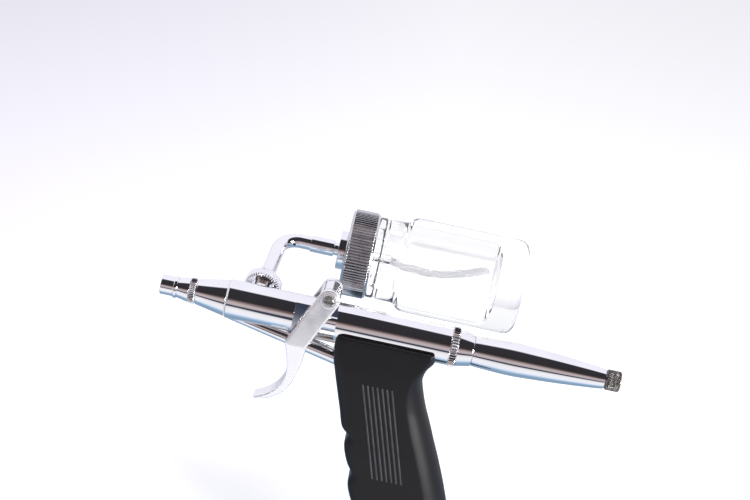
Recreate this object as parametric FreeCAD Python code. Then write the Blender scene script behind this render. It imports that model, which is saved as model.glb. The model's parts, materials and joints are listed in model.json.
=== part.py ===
import FreeCAD, Part
import math
import os

V = FreeCAD.Vector

# Airbrush gun, in millimetres. X runs back along the barrel from the front face of the
# needle cap, Y points to the jar side, Z is up and the grip hangs down.

# Clearances
THREAD_GAP = 0.05       # radial, between pieces that screw together
SLIDE_GAP = 0.05        # radial, between pieces that slide or turn
FACE_GAP = 0.05         # between faces that turn or push against each other
GRIP_GAP = 0.05         # between the grip and the metal that it hugs
EDGE = 0.3              # small chamfer on turned edges

# Needle cap
CAP_LEN = 6.5
CAP_R = 3.75
CAP_BEAD_R = 4.2
CAP_BEAD_LEN = 1.45
CAP_BORE_R = 2.6
CAP_SPIGOT_LEN = 2.5
CAP_SPIGOT_R = 2.9

# Air cap
AIR_CAP_LEN = 4.5
AIR_CAP_FRONT_R = 3.8
AIR_CAP_REAR_R = 4.7
AIR_CAP_HOLE_R = 0.8
AIR_CAP_HOLE_LEN = 0.3
AIR_CAP_ROOM_R = 2.4

# Fluid nozzle
NOZZLE_TIP_R = 0.6
NOZZLE_TIP_PROUD = 0.3
NOZZLE_BASE_R = 1.5
NOZZLE_FLANGE_R = 1.9
NOZZLE_FLANGE_T = 0.7
NOZZLE_THREAD_R = 1.2
NOZZLE_THREAD_LEN = 2.0
NOZZLE_MOUTH_R = 0.32

# Head ring and fluid head
HEAD_RING_LEN = 2.7
HEAD_RING_R = 5.0
HEAD_NECK_R = 3.2
HEAD_NECK_REACH = 3.0
HEAD_GROOVE_LEN = 0.3
HEAD_GROOVE_R = 4.4
HEAD_CONE_LEN = 11.6
HEAD_CONE_FRONT_R = 4.85
HEAD_CONE_REAR_R = 7.1
HEAD_SPIGOT_R = 4.9
HEAD_SPIGOT_LEN = 5.5
HEAD_TAIL_R = 1.8
HEAD_TAIL_LEN = 2.5
HEAD_AIR_HOLES = 4
HEAD_AIR_HOLE_R = 0.45
HEAD_AIR_HOLE_PITCH_R = 2.35
PAINT_BORE_R = 1.0
HEAD_SEAL_T = 0.4
HEAD_SEAL_R = 6.9

# Main body
BODY_LEN = 87.0
BODY_R = 7.5
BODY_PAINT_BORE_R = 1.5
AIR_CHAMBER_LEN = 1.0
PACKING_FROM_FRONT = 16.0
PACKING_LEN = 3.0
PACKING_R = 2.2
PACKING_SCREW_LEN = 6.5
PACKING_SCREW_R = 2.8
PACKING_SLOT_W = 0.8
PACKING_SLOT_D = 1.2

# Trigger slot, its flats and the pivot lug
SLOT_FROM_FRONT = 26.1
SLOT_LEN = 16.5
SLOT_SOLID_LEN = 4.4
SLOT_TOP_Z = 3.3
FLAT_HALF = 4.5
PIVOT_FROM_SLOT = 12.1
PIVOT_Z = 10.3
LUG_R = 4.0
PIVOT_PIN_R = 1.45

# Needle, needle tube, spring and chuck
NEEDLE_R = 0.6
NEEDLE_TIP_R = 0.05
NEEDLE_TIP_BEHIND_FACE = 2.2
NEEDLE_TAPER_LEN = 3.45
TUBE_COLLAR_R = 4.32
TUBE_COLLAR_LEN = 8.0
TUBE_STEM_R = 2.6
TUBE_BORE_R = 0.9
TUBE_STEM_BEHIND_GUIDE = 9.0
TUBE_SLIT_W = 0.5
TUBE_SLIT_LEN = 7.0
CHUCK_LEN = 10.0
CHUCK_R = 3.6
CHUCK_THREAD_LEN = 7.5
NEEDLE_TAIL_PROUD = 1.5
NEEDLE_SPRING_WIRE_R = 0.4
NEEDLE_SPRING_R = 3.45
NEEDLE_SPRING_TURNS = 12
GUIDE_LEN = 3.0

# Rear ring and handle collar
REAR_BORE_R = 4.9
REAR_BORE_LEN = 10.0
REAR_RING_LEN = 2.7
REAR_RING_R = 7.9
COLLAR_LEN = 6.0
COLLAR_FRONT_R = 7.3
COLLAR_REAR_R = 6.1
COLLAR_BORE_R = 4.3
COLLAR_TENON_LEN = 5.8
COLLAR_TENON_R = 5.0

# Tail handle, its profile as share of its length and radius, and the limit knob
HANDLE_LEN = 51.6
HANDLE_SHAPE = ((0.0, 5.9), (0.277, 6.5), (0.49, 6.05), (0.684, 5.4), (0.897, 4.45), (1.0, 3.85))
HANDLE_BORE_R = 4.3
HANDLE_BORE_LEN = 24.0
STEM_R = 1.9
STEM_TIP_FROM_NEEDLE = 5.5
KNOB_GAP = 0.5
KNOB_LEN = 5.5
KNOB_R = 4.05
KNOB_SEAT_LEN = 4.0

# Trigger, measured from the pivot: along X, then Z
ARM_GAP = 0.2
ARM_T = 2.8
ARM_HALF_W = 4.15
LEVER_FRONT = ((-13.5, -20.0), (-11.9, -25.3), (-10.6, -30.3), (-10.2, -35.3), (-11.7, -39.8),
               (-14.7, -43.1), (-20.0, -45.1))
LEVER_REAR = ((-17.9, -45.7), (-15.2, -44.9), (-12.2, -43.1), (-9.2, -40.3), (-7.2, -37.3),
              (-5.7, -33.3), (-4.9, -28.8), (-4.9, -20.8))
FORK_BOTTOM_Z = -18.0
LEVER_TAPER_TOP_Z = -21.0
LEVER_TIP_HALF_W = 3.9
PIVOT_BOSS_R = 3.2
PIVOT_BOSS_T = 0.5
PIVOT_HEAD_R = 2.05
PIVOT_HEAD_T = 0.9
PIVOT_SLOT_W = 0.6
PIVOT_SLOT_D = 0.45
PIVOT_NUT_R = 2.9
PIVOT_NUT_T = 1.8
PIVOT_END_PROUD = 0.4
NEEDLE_PIN_R = 1.5
NEEDLE_PIN_X = -3.7
NEEDLE_PIN_Z = -13.3
VALVE_PIN_R = 1.2
VALVE_PIN_X = -4.4
VALVE_PIN_Z = -17.2

# Air valve under the barrel
VALVE_Z = -7.4
VALVE_BOSS_R = 4.4
VALVE_BOSS_LEN = 31.0
VALVE_BOSS_FROM_SLOT = 0.9
VALVE_ROD_R = 1.4
VALVE_NECK_R = 0.9
VALVE_GUIDE_LEN = 4.5
VALVE_PACKING_LEN = 2.5
VALVE_PACKING_R = 2.1
VALVE_FRONT_ROOM_LEN = 6.5
VALVE_SEAT_T = 1.5
VALVE_SEAT_HOLE_R = 1.3
VALVE_REAR_ROOM_R = 2.4
VALVE_SEAL_T = 0.8
VALVE_SEAL_R = 1.9
VALVE_HEAD_T = 1.6
VALVE_HEAD_R = 2.0
VALVE_PLUG_LEN = 4.0
VALVE_SPRING_WIRE_R = 0.25
VALVE_SPRING_R = 1.65
VALVE_SPRING_TURNS = 6
BLOCK_FROM_SLOT = 7.4
BLOCK_LEN = 17.0
BLOCK_BOTTOM_Z = -21.0
PASSAGE_R = 1.3

# Slanted air tube
AIR_TUBE_R = 3.1
AIR_TUBE_BORE_R = 1.6
AIR_TUBE_SLOPE = 12.2
AIR_TUBE_Z = -13.75
AIR_TUBE_FROM_FRONT = 2.0

# Grip: height, front edge behind the slot's end, rear edge behind the body's end, half width
GRIP_STATIONS = (
    (-2.4, 0.9, -4.8, 9.1),
    (-8.0, 0.9, -5.0, 9.6),
    (-14.3, 1.9, -8.5, 10.0),
    (-20.0, 3.8, -9.9, 10.0),
    (-26.0, 5.9, -9.1, 10.0),
    (-33.0, 8.0, -5.8, 10.1),
    (-38.5, 9.8, -2.8, 10.2),
    (-42.5, 13.0, -0.5, 10.2),
    (-49.5, 13.2, 3.9, 10.4),
    (-57.4, 17.2, 8.4, 10.6),
    (-65.0, 17.9, 12.1, 10.8),
    (-73.0, 21.9, 15.8, 11.1),
    (-82.0, 23.4, 19.5, 11.4),
    (-92.0, 27.6, 23.2, 11.7),
    (-102.0, 32.0, 26.6, 12.0),
)
GRIP_FRONT_ROUND = 3.8
GRIP_REAR_ROUND = 8.6
GRIP_RAKE = 23.6
GRIP_AXIS_FROM_SLOT = 9.0
GRIP_LEN = 98.0
RIB_COUNT = 7
RIB_PITCH = 1.9
RIB_W = 0.7
RIB_PROUD = 0.35
RIB_LEN = 37.5
RIB_LEAN = 16.0
RIB_TOP_Z = -19.0
RIB_BEFORE_END = 30.1

# Air riser and hose fitting, along the grip's axis
RISER_R = 3.0
RISER_BORE_R = 2.0
RISER_IN_BLOCK = 4.0
RISER_IN_FITTING = 6.0
WASHER_R = 7.6
WASHER_T = 1.0
FITTING_TENON_R = 4.6
FITTING_TENON_LEN = 8.0
FITTING_COLLAR_R = 7.4
FITTING_COLLAR_T = 1.6
FITTING_HEX_AF = 13.0
FITTING_HEX_T = 5.0
HOSE_THREAD_R = 4.86
HOSE_THREAD_LEN = 8.5
HOSE_BORE_R = 2.5

# Feed: boss, union nut, bent tube
FEED_FROM_FRONT = 10.5
FEED_TILT = 20.0
FEED_RAKE = 4.5
FEED_BORE_R = 1.5
BOSS_R = 4.6
BOSS_LEN = 12.2
UNION_NUT_R = 7.1
UNION_NUT_FROM_AXIS = 9.7
UNION_NUT_LEN = 4.9
FERRULE_R = 4.2
FERRULE_T = 0.9
FEED_SEAL_T = 0.3
FEED_TUBE_R = 2.8
FEED_CORNER = 43.0
FEED_BEND_R = 8.0

# Lid boss, lid and jar, placed behind the corner of the feed tube
SLEEVE_FROM_CORNER = 11.6
SLEEVE_LEN = 9.5
SLEEVE_R = 3.3
SLEEVE_SOCKET_LEN = 7.5
NECK_LEN = 1.8
NECK_R = 2.6
DISC_LEN = 3.0
DISC_R = 7.75
LID_LEN = 11.1
LID_R = 17.5
LID_TOP_T = 1.5
LID_SKIRT_T = 1.7
LID_STEM_R = 3.5
LID_STEM_LEN = 4.6
LID_NUT_T = 2.2
LID_NUT_AF = 10.0
GASKET_T = 0.9
GASKET_HOLE_R = 8.0
STUB_R = 2.15
STUB_BEAD_R = 2.45
STUB_BEAD_T = 1.0
STUB_LEN = 14.0
SIPHON_R = 1.6
SIPHON_BORE_R = 1.0
SIPHON_END_SLOPE = 0.4
SIPHON_SAG = 1.6
SIPHON_RISE = 4.8
SIPHON_GAP_TO_BASE = 4.0
JAR_NECK_GAP = 0.4
JAR_COLLAR_R = 16.4
JAR_COLLAR_LEN = 11.5
JAR_SHOULDER_LEN = 3.0
JAR_R = 19.2
JAR_LEN = 69.6
JAR_BASE_T = 10.2
JAR_BASE_ROUND = 4.0
JAR_BORE_R = 12.3

# Stations along the barrel
X_AIR_CAP = CAP_LEN
X_HEAD_RING = X_AIR_CAP + AIR_CAP_LEN
X_HEAD_GROOVE = X_HEAD_RING + HEAD_RING_LEN
X_HEAD_CONE = X_HEAD_GROOVE + HEAD_GROOVE_LEN
X_HEAD_SEAL = X_HEAD_CONE + HEAD_CONE_LEN
X_BODY = X_HEAD_SEAL + HEAD_SEAL_T
X_HEAD_TAIL = X_BODY + HEAD_SPIGOT_LEN
X_CHAMBER_END = X_HEAD_TAIL + AIR_CHAMBER_LEN
X_FEED = X_BODY + FEED_FROM_FRONT
X_PACKING = X_BODY + PACKING_FROM_FRONT
X_PACKING_SCREW = X_PACKING + PACKING_LEN
X_SLOT = X_BODY + SLOT_FROM_FRONT
X_SLOT_END = X_SLOT + SLOT_LEN
X_PIVOT = X_SLOT + PIVOT_FROM_SLOT
X_BODY_END = X_BODY + BODY_LEN
X_REAR_BORE = X_BODY_END - REAR_BORE_LEN
X_GUIDE_END = X_REAR_BORE + GUIDE_LEN
X_COLLAR = X_BODY_END + REAR_RING_LEN
X_HANDLE = X_COLLAR + COLLAR_LEN
X_HANDLE_END = X_HANDLE + HANDLE_LEN
X_KNOB = X_HANDLE_END + KNOB_GAP

# Stations of the needle's moving parts
X_TUBE = X_PIVOT + NEEDLE_PIN_X + NEEDLE_PIN_R + FACE_GAP
X_TUBE_STEM = X_TUBE + TUBE_COLLAR_LEN
X_TUBE_END = X_GUIDE_END + TUBE_STEM_BEHIND_GUIDE
X_CHUCK = X_TUBE_END - CHUCK_THREAD_LEN
X_CHUCK_END = X_CHUCK + CHUCK_LEN
X_NEEDLE_END = X_CHUCK_END + NEEDLE_TAIL_PROUD
X_STEM = X_NEEDLE_END + STEM_TIP_FROM_NEEDLE

# Stations of the valve
X_ROD = X_PIVOT + VALVE_PIN_X + VALVE_PIN_R + FACE_GAP
X_VALVE_BOSS = X_SLOT_END + VALVE_BOSS_FROM_SLOT
X_VALVE_PACKING = X_VALVE_BOSS + VALVE_GUIDE_LEN
X_VALVE_FRONT = X_VALVE_PACKING + VALVE_PACKING_LEN
X_VALVE_SEAT = X_VALVE_FRONT + VALVE_FRONT_ROOM_LEN
X_VALVE_REAR = X_VALVE_SEAT + VALVE_SEAT_T
X_VALVE_HEAD = X_VALVE_REAR + VALVE_SEAL_T
X_VALVE_SPRING = X_VALVE_HEAD + VALVE_HEAD_T
X_VALVE_BOSS_END = X_VALVE_BOSS + VALVE_BOSS_LEN
X_VALVE_PLUG = X_VALVE_BOSS_END - VALVE_PLUG_LEN
X_BLOCK = X_SLOT_END + BLOCK_FROM_SLOT

# Arms of the trigger
ARM_IN = FLAT_HALF + ARM_GAP
ARM_OUT = ARM_IN + ARM_T

# Axes that aren't along the barrel
FEED_BASE = V(X_FEED, 0, 0)
FEED_DIR = V(math.sin(math.radians(FEED_RAKE)),
             math.cos(math.radians(FEED_RAKE)) * math.cos(math.radians(FEED_TILT)),
             math.cos(math.radians(FEED_RAKE)) * math.sin(math.radians(FEED_TILT)))
FEED_TURN = math.acos(FEED_DIR.x)
CORNER = FEED_BASE + FEED_DIR * FEED_CORNER
GRIP_DIR = V(math.sin(math.radians(GRIP_RAKE)), 0, -math.cos(math.radians(GRIP_RAKE)))
GRIP_BASE = V(X_SLOT_END + GRIP_AXIS_FROM_SLOT, 0, 0)
X_SLEEVE = CORNER.x + SLEEVE_FROM_CORNER
X_NECK = X_SLEEVE + SLEEVE_LEN
X_DISC = X_NECK + NECK_LEN
X_LID = X_DISC + DISC_LEN
X_LID_END = X_LID + LID_LEN
X_GASKET = X_LID + LID_TOP_T
X_JAR = X_GASKET + GASKET_T
X_JAR_END = X_JAR + JAR_LEN
X_STUB = X_LID + LID_STEM_LEN
X_STUB_END = X_STUB + STUB_LEN
FAR = 200.0


def turned(outline):
    """Solid turned about X from (x, radius) points."""
    points = [V(x, 0, r) for x, r in outline]
    face = Part.Face(Part.makePolygon(points + points[:1]))
    return face.revolve(V(0, 0, 0), V(1, 0, 0), 360)


def rod(radius, start, end, y=0.0, z=0.0):
    """Round rod along X."""
    return Part.makeCylinder(radius, end - start, V(start, y, z), V(1, 0, 0))


def ring(outer, inner, start, end, y=0.0, z=0.0):
    """Round tube along X."""
    return rod(outer, start, end, y, z).cut(rod(inner, start, end, y, z))


def cross_rod(radius, x, z, low, high):
    """Round rod along Y."""
    return Part.makeCylinder(radius, high - low, V(x, low, z), V(0, 1, 0))


def block(x0, x1, y0, y1, z0, z1):
    """Box between two corners."""
    return Part.makeBox(x1 - x0, y1 - y0, z1 - z0, V(x0, y0, z0))


def passage(start, end, radius):
    """Round rod from one point to another."""
    return Part.makeCylinder(radius, (end - start).Length, start, end - start)


def hexagon(across_flats, start, end, y=0.0, z=0.0):
    """Hexagonal prism along X."""
    reach = across_flats / 2 / math.cos(math.pi / 6)
    corners = [V(start, y + reach * math.cos(math.pi / 3 * k), z + reach * math.sin(math.pi / 3 * k))
               for k in range(7)]
    return Part.Face(Part.makePolygon(corners)).extrude(V(end - start, 0, 0))


def along(shape, base, direction):
    """Puts a shape made along X onto another axis."""
    moved = shape.copy()
    moved.Placement = FreeCAD.Placement(base, FreeCAD.Rotation(V(1, 0, 0), direction))
    return moved


def coil(radius, wire_r, start, end, turns, z):
    """Open coil spring about an axis along X, swept along quarter-turn arcs."""
    length = end - start
    quarters = turns * 4

    def point(step):
        angle = math.pi / 2 * step
        return V(start + length * step / quarters, radius * math.sin(angle), z + radius * math.cos(angle))

    arcs = [Part.Arc(point(k), point(k + 0.5), point(k + 1)).toShape() for k in range(quarters)]
    path = Part.Wire(arcs)
    section = Part.Wire(Part.Circle(point(0), path.Edges[0].tangentAt(path.Edges[0].FirstParameter),
                                    wire_r).toShape())
    return path.makePipeShell([section], True, False)


def air_tube_point(x):
    """Point on the centre line of the slanted air tube."""
    return V(x, 0, AIR_TUBE_Z - (x - X_SLOT_END) * math.tan(math.radians(AIR_TUBE_SLOPE)))


def grip_point(distance):
    """Point on the grip's axis, a distance below the barrel's axis."""
    return GRIP_BASE + GRIP_DIR * distance


def needle_cap():
    bead = X_AIR_CAP - CAP_BEAD_LEN
    spigot = X_AIR_CAP - CAP_SPIGOT_LEN
    thread = CAP_SPIGOT_R + THREAD_GAP
    return turned([(EDGE, CAP_BORE_R), (0, CAP_BORE_R + EDGE), (0, CAP_R), (bead, CAP_R),
                   (bead + EDGE, CAP_BEAD_R), (X_AIR_CAP - EDGE, CAP_BEAD_R),
                   (X_AIR_CAP, CAP_BEAD_R - EDGE), (X_AIR_CAP, thread), (spigot, thread),
                   (spigot, CAP_BORE_R)])


def air_cap():
    face = X_AIR_CAP - CAP_SPIGOT_LEN
    room = X_HEAD_RING - HEAD_NECK_REACH - NOZZLE_FLANGE_T
    neck = HEAD_NECK_R + THREAD_GAP
    hole_end = face + AIR_CAP_HOLE_LEN
    return turned([(face, AIR_CAP_HOLE_R), (face, CAP_SPIGOT_R), (X_AIR_CAP, CAP_SPIGOT_R),
                   (X_AIR_CAP, AIR_CAP_FRONT_R), (X_HEAD_RING - EDGE, AIR_CAP_REAR_R),
                   (X_HEAD_RING, AIR_CAP_REAR_R - EDGE), (X_HEAD_RING, neck), (room, neck),
                   (room, AIR_CAP_ROOM_R), (room - EDGE, AIR_CAP_ROOM_R), (hole_end, AIR_CAP_HOLE_R)])


def fluid_nozzle():
    tip = X_AIR_CAP - CAP_SPIGOT_LEN - NOZZLE_TIP_PROUD
    seat = X_HEAD_RING - HEAD_NECK_REACH
    flange = seat - NOZZLE_FLANGE_T
    end = seat + NOZZLE_THREAD_LEN
    wide = NEEDLE_TIP_BEHIND_FACE + NEEDLE_TAPER_LEN
    bore = NEEDLE_R + THREAD_GAP + SLIDE_GAP
    return turned([(tip, NOZZLE_MOUTH_R), (tip, NOZZLE_TIP_R), (flange, NOZZLE_BASE_R),
                   (flange, NOZZLE_FLANGE_R), (seat, NOZZLE_FLANGE_R), (seat, NOZZLE_THREAD_R),
                   (end, NOZZLE_THREAD_R), (end, bore), (wide, bore)])


def head_ring():
    inner = HEAD_NECK_R + THREAD_GAP
    return turned([(X_HEAD_RING, inner), (X_HEAD_RING, HEAD_RING_R - EDGE),
                   (X_HEAD_RING + EDGE, HEAD_RING_R), (X_HEAD_GROOVE - EDGE, HEAD_RING_R),
                   (X_HEAD_GROOVE, HEAD_RING_R - EDGE), (X_HEAD_GROOVE, inner)])


def fluid_head():
    front = X_HEAD_RING - HEAD_NECK_REACH
    socket = NOZZLE_THREAD_R + THREAD_GAP
    socket_end = front + NOZZLE_THREAD_LEN + FACE_GAP
    tail = X_HEAD_TAIL + HEAD_TAIL_LEN
    head = turned([(front, socket), (front, HEAD_NECK_R), (X_HEAD_GROOVE, HEAD_NECK_R),
                   (X_HEAD_GROOVE, HEAD_GROOVE_R), (X_HEAD_CONE, HEAD_GROOVE_R),
                   (X_HEAD_CONE, HEAD_CONE_FRONT_R), (X_HEAD_SEAL, HEAD_CONE_REAR_R),
                   (X_HEAD_SEAL, HEAD_SPIGOT_R), (X_HEAD_TAIL, HEAD_SPIGOT_R),
                   (X_HEAD_TAIL, HEAD_TAIL_R), (tail, HEAD_TAIL_R), (tail, PAINT_BORE_R),
                   (socket_end, PAINT_BORE_R), (socket_end, socket)])
    for k in range(HEAD_AIR_HOLES):
        angle = 2 * math.pi * k / HEAD_AIR_HOLES
        head = head.cut(rod(HEAD_AIR_HOLE_R, front, X_HEAD_TAIL, HEAD_AIR_HOLE_PITCH_R * math.cos(angle),
                            HEAD_AIR_HOLE_PITCH_R * math.sin(angle)))
    return head


def head_seal():
    return ring(HEAD_SEAL_R, HEAD_SPIGOT_R + THREAD_GAP, X_HEAD_SEAL, X_BODY)


def barrel_shell():
    """Barrel, lug, feed boss and valve block, before the bores."""
    barrel = turned([(X_BODY, 0), (X_BODY, BODY_R - EDGE), (X_BODY + EDGE, BODY_R),
                     (X_BODY_END - EDGE, BODY_R), (X_BODY_END, BODY_R - EDGE), (X_BODY_END, 0)])
    flats_start, flats_end = X_SLOT, X_SLOT_END
    for low, high in ((-BODY_R - EDGE, -FLAT_HALF), (FLAT_HALF, BODY_R + EDGE)):
        barrel = barrel.cut(block(flats_start, flats_end, low, high, -BODY_R - EDGE, BODY_R + EDGE))
    lug = cross_rod(LUG_R, X_PIVOT, PIVOT_Z, -FLAT_HALF, FLAT_HALF)
    foot = block(X_PIVOT - LUG_R, X_PIVOT + LUG_R, -FLAT_HALF, FLAT_HALF, SLOT_TOP_Z + LUG_R / 2, PIVOT_Z)
    feed_boss = passage(FEED_BASE, FEED_BASE + FEED_DIR * BOSS_LEN, BOSS_R)
    valve_boss = rod(VALVE_BOSS_R, X_VALVE_BOSS, X_VALVE_BOSS_END, 0, VALVE_Z)
    valve_block = block(X_BLOCK, X_BLOCK + BLOCK_LEN, -VALVE_BOSS_R, VALVE_BOSS_R, BLOCK_BOTTOM_Z, VALVE_Z)
    return barrel.fuse([lug, foot, feed_boss, valve_boss, valve_block])


def main_body():
    """Turned and milled body with every bore that it holds."""
    packing_room = NEEDLE_R + SLIDE_GAP
    riser_hole = grip_point(-BLOCK_BOTTOM_Z / math.cos(math.radians(GRIP_RAKE)))
    riser_seat = riser_hole - GRIP_DIR * RISER_IN_BLOCK
    riser_deep = riser_seat - GRIP_DIR * RISER_IN_BLOCK
    valve_drop = V(X_VALVE_SEAT - VALVE_FRONT_ROOM_LEN / 2, 0, VALVE_Z)
    rear_drop = V(X_VALVE_HEAD + VALVE_HEAD_R * 2, 0, VALVE_Z)
    cuts = [
        rod(HEAD_SPIGOT_R + THREAD_GAP, X_BODY, X_CHAMBER_END),
        rod(HEAD_TAIL_R + THREAD_GAP, X_CHAMBER_END, X_HEAD_TAIL + HEAD_TAIL_LEN),
        rod(BODY_PAINT_BORE_R, X_HEAD_TAIL + HEAD_TAIL_LEN, X_PACKING),
        rod(PACKING_R + THREAD_GAP, X_PACKING, X_PACKING_SCREW),
        rod(PACKING_SCREW_R + THREAD_GAP, X_PACKING_SCREW, X_SLOT + SLOT_SOLID_LEN),
        block(X_SLOT + SLOT_SOLID_LEN, X_SLOT_END, -FLAT_HALF - EDGE, FLAT_HALF + EDGE,
              -BODY_R - EDGE, SLOT_TOP_Z),
        rod(TUBE_COLLAR_R + SLIDE_GAP, X_SLOT + SLOT_SOLID_LEN, X_REAR_BORE),
        rod(REAR_BORE_R, X_REAR_BORE, X_BODY_END),
        cross_rod(PIVOT_PIN_R + SLIDE_GAP, X_PIVOT, PIVOT_Z, -FLAT_HALF, FLAT_HALF),
        passage(FEED_BASE, FEED_BASE + FEED_DIR * BOSS_LEN, FEED_BORE_R),
        rod(VALVE_ROD_R + SLIDE_GAP, X_SLOT_END, X_VALVE_PACKING, 0, VALVE_Z),
        rod(VALVE_PACKING_R + THREAD_GAP, X_VALVE_PACKING, X_VALVE_SEAT, 0, VALVE_Z),
        rod(VALVE_REAR_ROOM_R, X_VALVE_SEAT, X_VALVE_BOSS_END, 0, VALVE_Z),
        passage(valve_drop, air_tube_point(valve_drop.x), PASSAGE_R),
        passage(air_tube_point(valve_drop.x), air_tube_point(X_BLOCK), PASSAGE_R),
        passage(air_tube_point(X_CHAMBER_END - AIR_CHAMBER_LEN / 2),
                V(X_CHAMBER_END - AIR_CHAMBER_LEN / 2, 0, -HEAD_SPIGOT_R / 2), AIR_CHAMBER_LEN / 2),
        passage(riser_seat, riser_hole + GRIP_DIR * RISER_IN_BLOCK, RISER_R + THREAD_GAP),
        passage(riser_deep, riser_seat, PASSAGE_R),
        passage(rear_drop, V(rear_drop.x, 0, riser_deep.z), PASSAGE_R),
        passage(riser_deep, V(rear_drop.x, 0, riser_deep.z), PASSAGE_R),
    ]
    paint_floor = rod(packing_room, X_PACKING - EDGE, X_PACKING)
    return barrel_shell().cut(cuts + [paint_floor])


def air_tube():
    """Slanted tube, saddled under the barrel and butted against the valve block."""
    start = air_tube_point(X_BODY + AIR_TUBE_FROM_FRONT)
    end = air_tube_point(X_BLOCK + AIR_TUBE_R)
    tube = passage(start, end, AIR_TUBE_R).cut(passage(start, end, AIR_TUBE_BORE_R))
    return tube.cut([rod(BODY_R, X_BODY, X_BODY_END),
                     rod(VALVE_BOSS_R, X_VALVE_BOSS, X_VALVE_BOSS_END, 0, VALVE_Z),
                     block(X_BLOCK, X_BLOCK + BLOCK_LEN, -BODY_R, BODY_R, -FAR, 0)])


def needle_packing():
    return ring(PACKING_R, NEEDLE_R + SLIDE_GAP, X_PACKING, X_PACKING_SCREW)


def packing_screw():
    end = X_PACKING_SCREW + PACKING_SCREW_LEN
    screw = ring(PACKING_SCREW_R, NEEDLE_R + SLIDE_GAP, X_PACKING_SCREW, end)
    return screw.cut(block(end - PACKING_SLOT_D, end, -PACKING_SCREW_R, PACKING_SCREW_R,
                           -PACKING_SLOT_W / 2, PACKING_SLOT_W / 2))


def needle():
    tip = NEEDLE_TIP_BEHIND_FACE
    return turned([(tip, 0), (tip, NEEDLE_TIP_R), (tip + NEEDLE_TAPER_LEN, NEEDLE_R),
                   (X_NEEDLE_END, NEEDLE_R), (X_NEEDLE_END, 0)])


def needle_tube():
    """Collar that the trigger's pin pushes, with a stem that ends in the split chuck."""
    tube = turned([(X_TUBE, TUBE_BORE_R), (X_TUBE, TUBE_COLLAR_R - EDGE), (X_TUBE + EDGE, TUBE_COLLAR_R),
                   (X_TUBE_STEM, TUBE_COLLAR_R), (X_TUBE_STEM, TUBE_STEM_R), (X_TUBE_END, TUBE_STEM_R),
                   (X_TUBE_END, TUBE_BORE_R)])
    half = TUBE_SLIT_W / 2
    start = X_TUBE_END - TUBE_SLIT_LEN
    return tube.cut([block(start, X_TUBE_END, -TUBE_STEM_R, TUBE_STEM_R, -half, half),
                     block(start, X_TUBE_END, -half, half, -TUBE_STEM_R, TUBE_STEM_R)])


def needle_spring():
    pad = NEEDLE_SPRING_WIRE_R + FACE_GAP
    return coil(NEEDLE_SPRING_R, NEEDLE_SPRING_WIRE_R, X_TUBE_STEM + pad, X_REAR_BORE - pad,
                NEEDLE_SPRING_TURNS, 0)


def spring_guide():
    return ring(REAR_BORE_R - THREAD_GAP, TUBE_STEM_R + SLIDE_GAP, X_REAR_BORE, X_GUIDE_END)


def chuck_nut():
    """Nut that closes the split chuck on the needle."""
    room = X_TUBE_END + FACE_GAP
    socket = TUBE_STEM_R + THREAD_GAP
    hole = NEEDLE_R + SLIDE_GAP
    return turned([(X_CHUCK, socket), (X_CHUCK, CHUCK_R - EDGE), (X_CHUCK + EDGE, CHUCK_R),
                   (X_CHUCK_END - EDGE, CHUCK_R), (X_CHUCK_END, CHUCK_R - EDGE), (X_CHUCK_END, hole),
                   (room, hole), (room, socket)])


def rear_ring():
    inner = REAR_BORE_R
    return turned([(X_BODY_END, inner), (X_BODY_END, REAR_RING_R - EDGE),
                   (X_BODY_END + EDGE, REAR_RING_R), (X_COLLAR - EDGE, REAR_RING_R),
                   (X_COLLAR, REAR_RING_R - EDGE), (X_COLLAR, inner)])


def handle_collar():
    """Cone with a front tenon in the body and a rear tenon in the handle."""
    front = REAR_BORE_R - THREAD_GAP
    tenon_end = X_HANDLE + COLLAR_TENON_LEN
    return turned([(X_GUIDE_END, COLLAR_BORE_R), (X_GUIDE_END, front), (X_COLLAR, front),
                   (X_COLLAR, COLLAR_FRONT_R), (X_HANDLE - EDGE, COLLAR_REAR_R),
                   (X_HANDLE, COLLAR_REAR_R - EDGE), (X_HANDLE, COLLAR_TENON_R),
                   (tenon_end, COLLAR_TENON_R), (tenon_end, COLLAR_BORE_R)])


def tail_handle():
    """Cigar-shaped handle, bored for the chuck and threaded for the limit stem."""
    curve = Part.BSplineCurve()
    curve.interpolate([V(X_HANDLE + share * HANDLE_LEN, 0, r) for share, r in HANDLE_SHAPE])
    first, last = curve.StartPoint, curve.EndPoint
    foot, heel = V(first.x, 0, 0), V(last.x, 0, 0)
    profile = Part.Wire([curve.toShape(), Part.makeLine(last, heel), Part.makeLine(heel, foot),
                         Part.makeLine(foot, first)])
    handle = Part.Face(profile).revolve(V(0, 0, 0), V(1, 0, 0), 360)
    socket_end = X_HANDLE + COLLAR_TENON_LEN
    return handle.cut([rod(COLLAR_TENON_R + THREAD_GAP, X_HANDLE, socket_end),
                       rod(HANDLE_BORE_R, socket_end, X_HANDLE + HANDLE_BORE_LEN),
                       rod(STEM_R + SLIDE_GAP, X_HANDLE + HANDLE_BORE_LEN, X_HANDLE_END)])


def limit_stem():
    return turned([(X_STEM, 0), (X_STEM, STEM_R - EDGE), (X_STEM + EDGE, STEM_R),
                   (X_KNOB + KNOB_SEAT_LEN, STEM_R), (X_KNOB + KNOB_SEAT_LEN, 0)])


def limit_knob():
    end = X_KNOB + KNOB_LEN
    socket = STEM_R + SLIDE_GAP
    socket_end = X_KNOB + KNOB_SEAT_LEN + FACE_GAP
    return turned([(X_KNOB, socket), (X_KNOB, KNOB_R - EDGE), (X_KNOB + EDGE, KNOB_R),
                   (end - EDGE, KNOB_R), (end, KNOB_R - EDGE), (end, 0), (socket_end, 0),
                   (socket_end, socket)])


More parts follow.
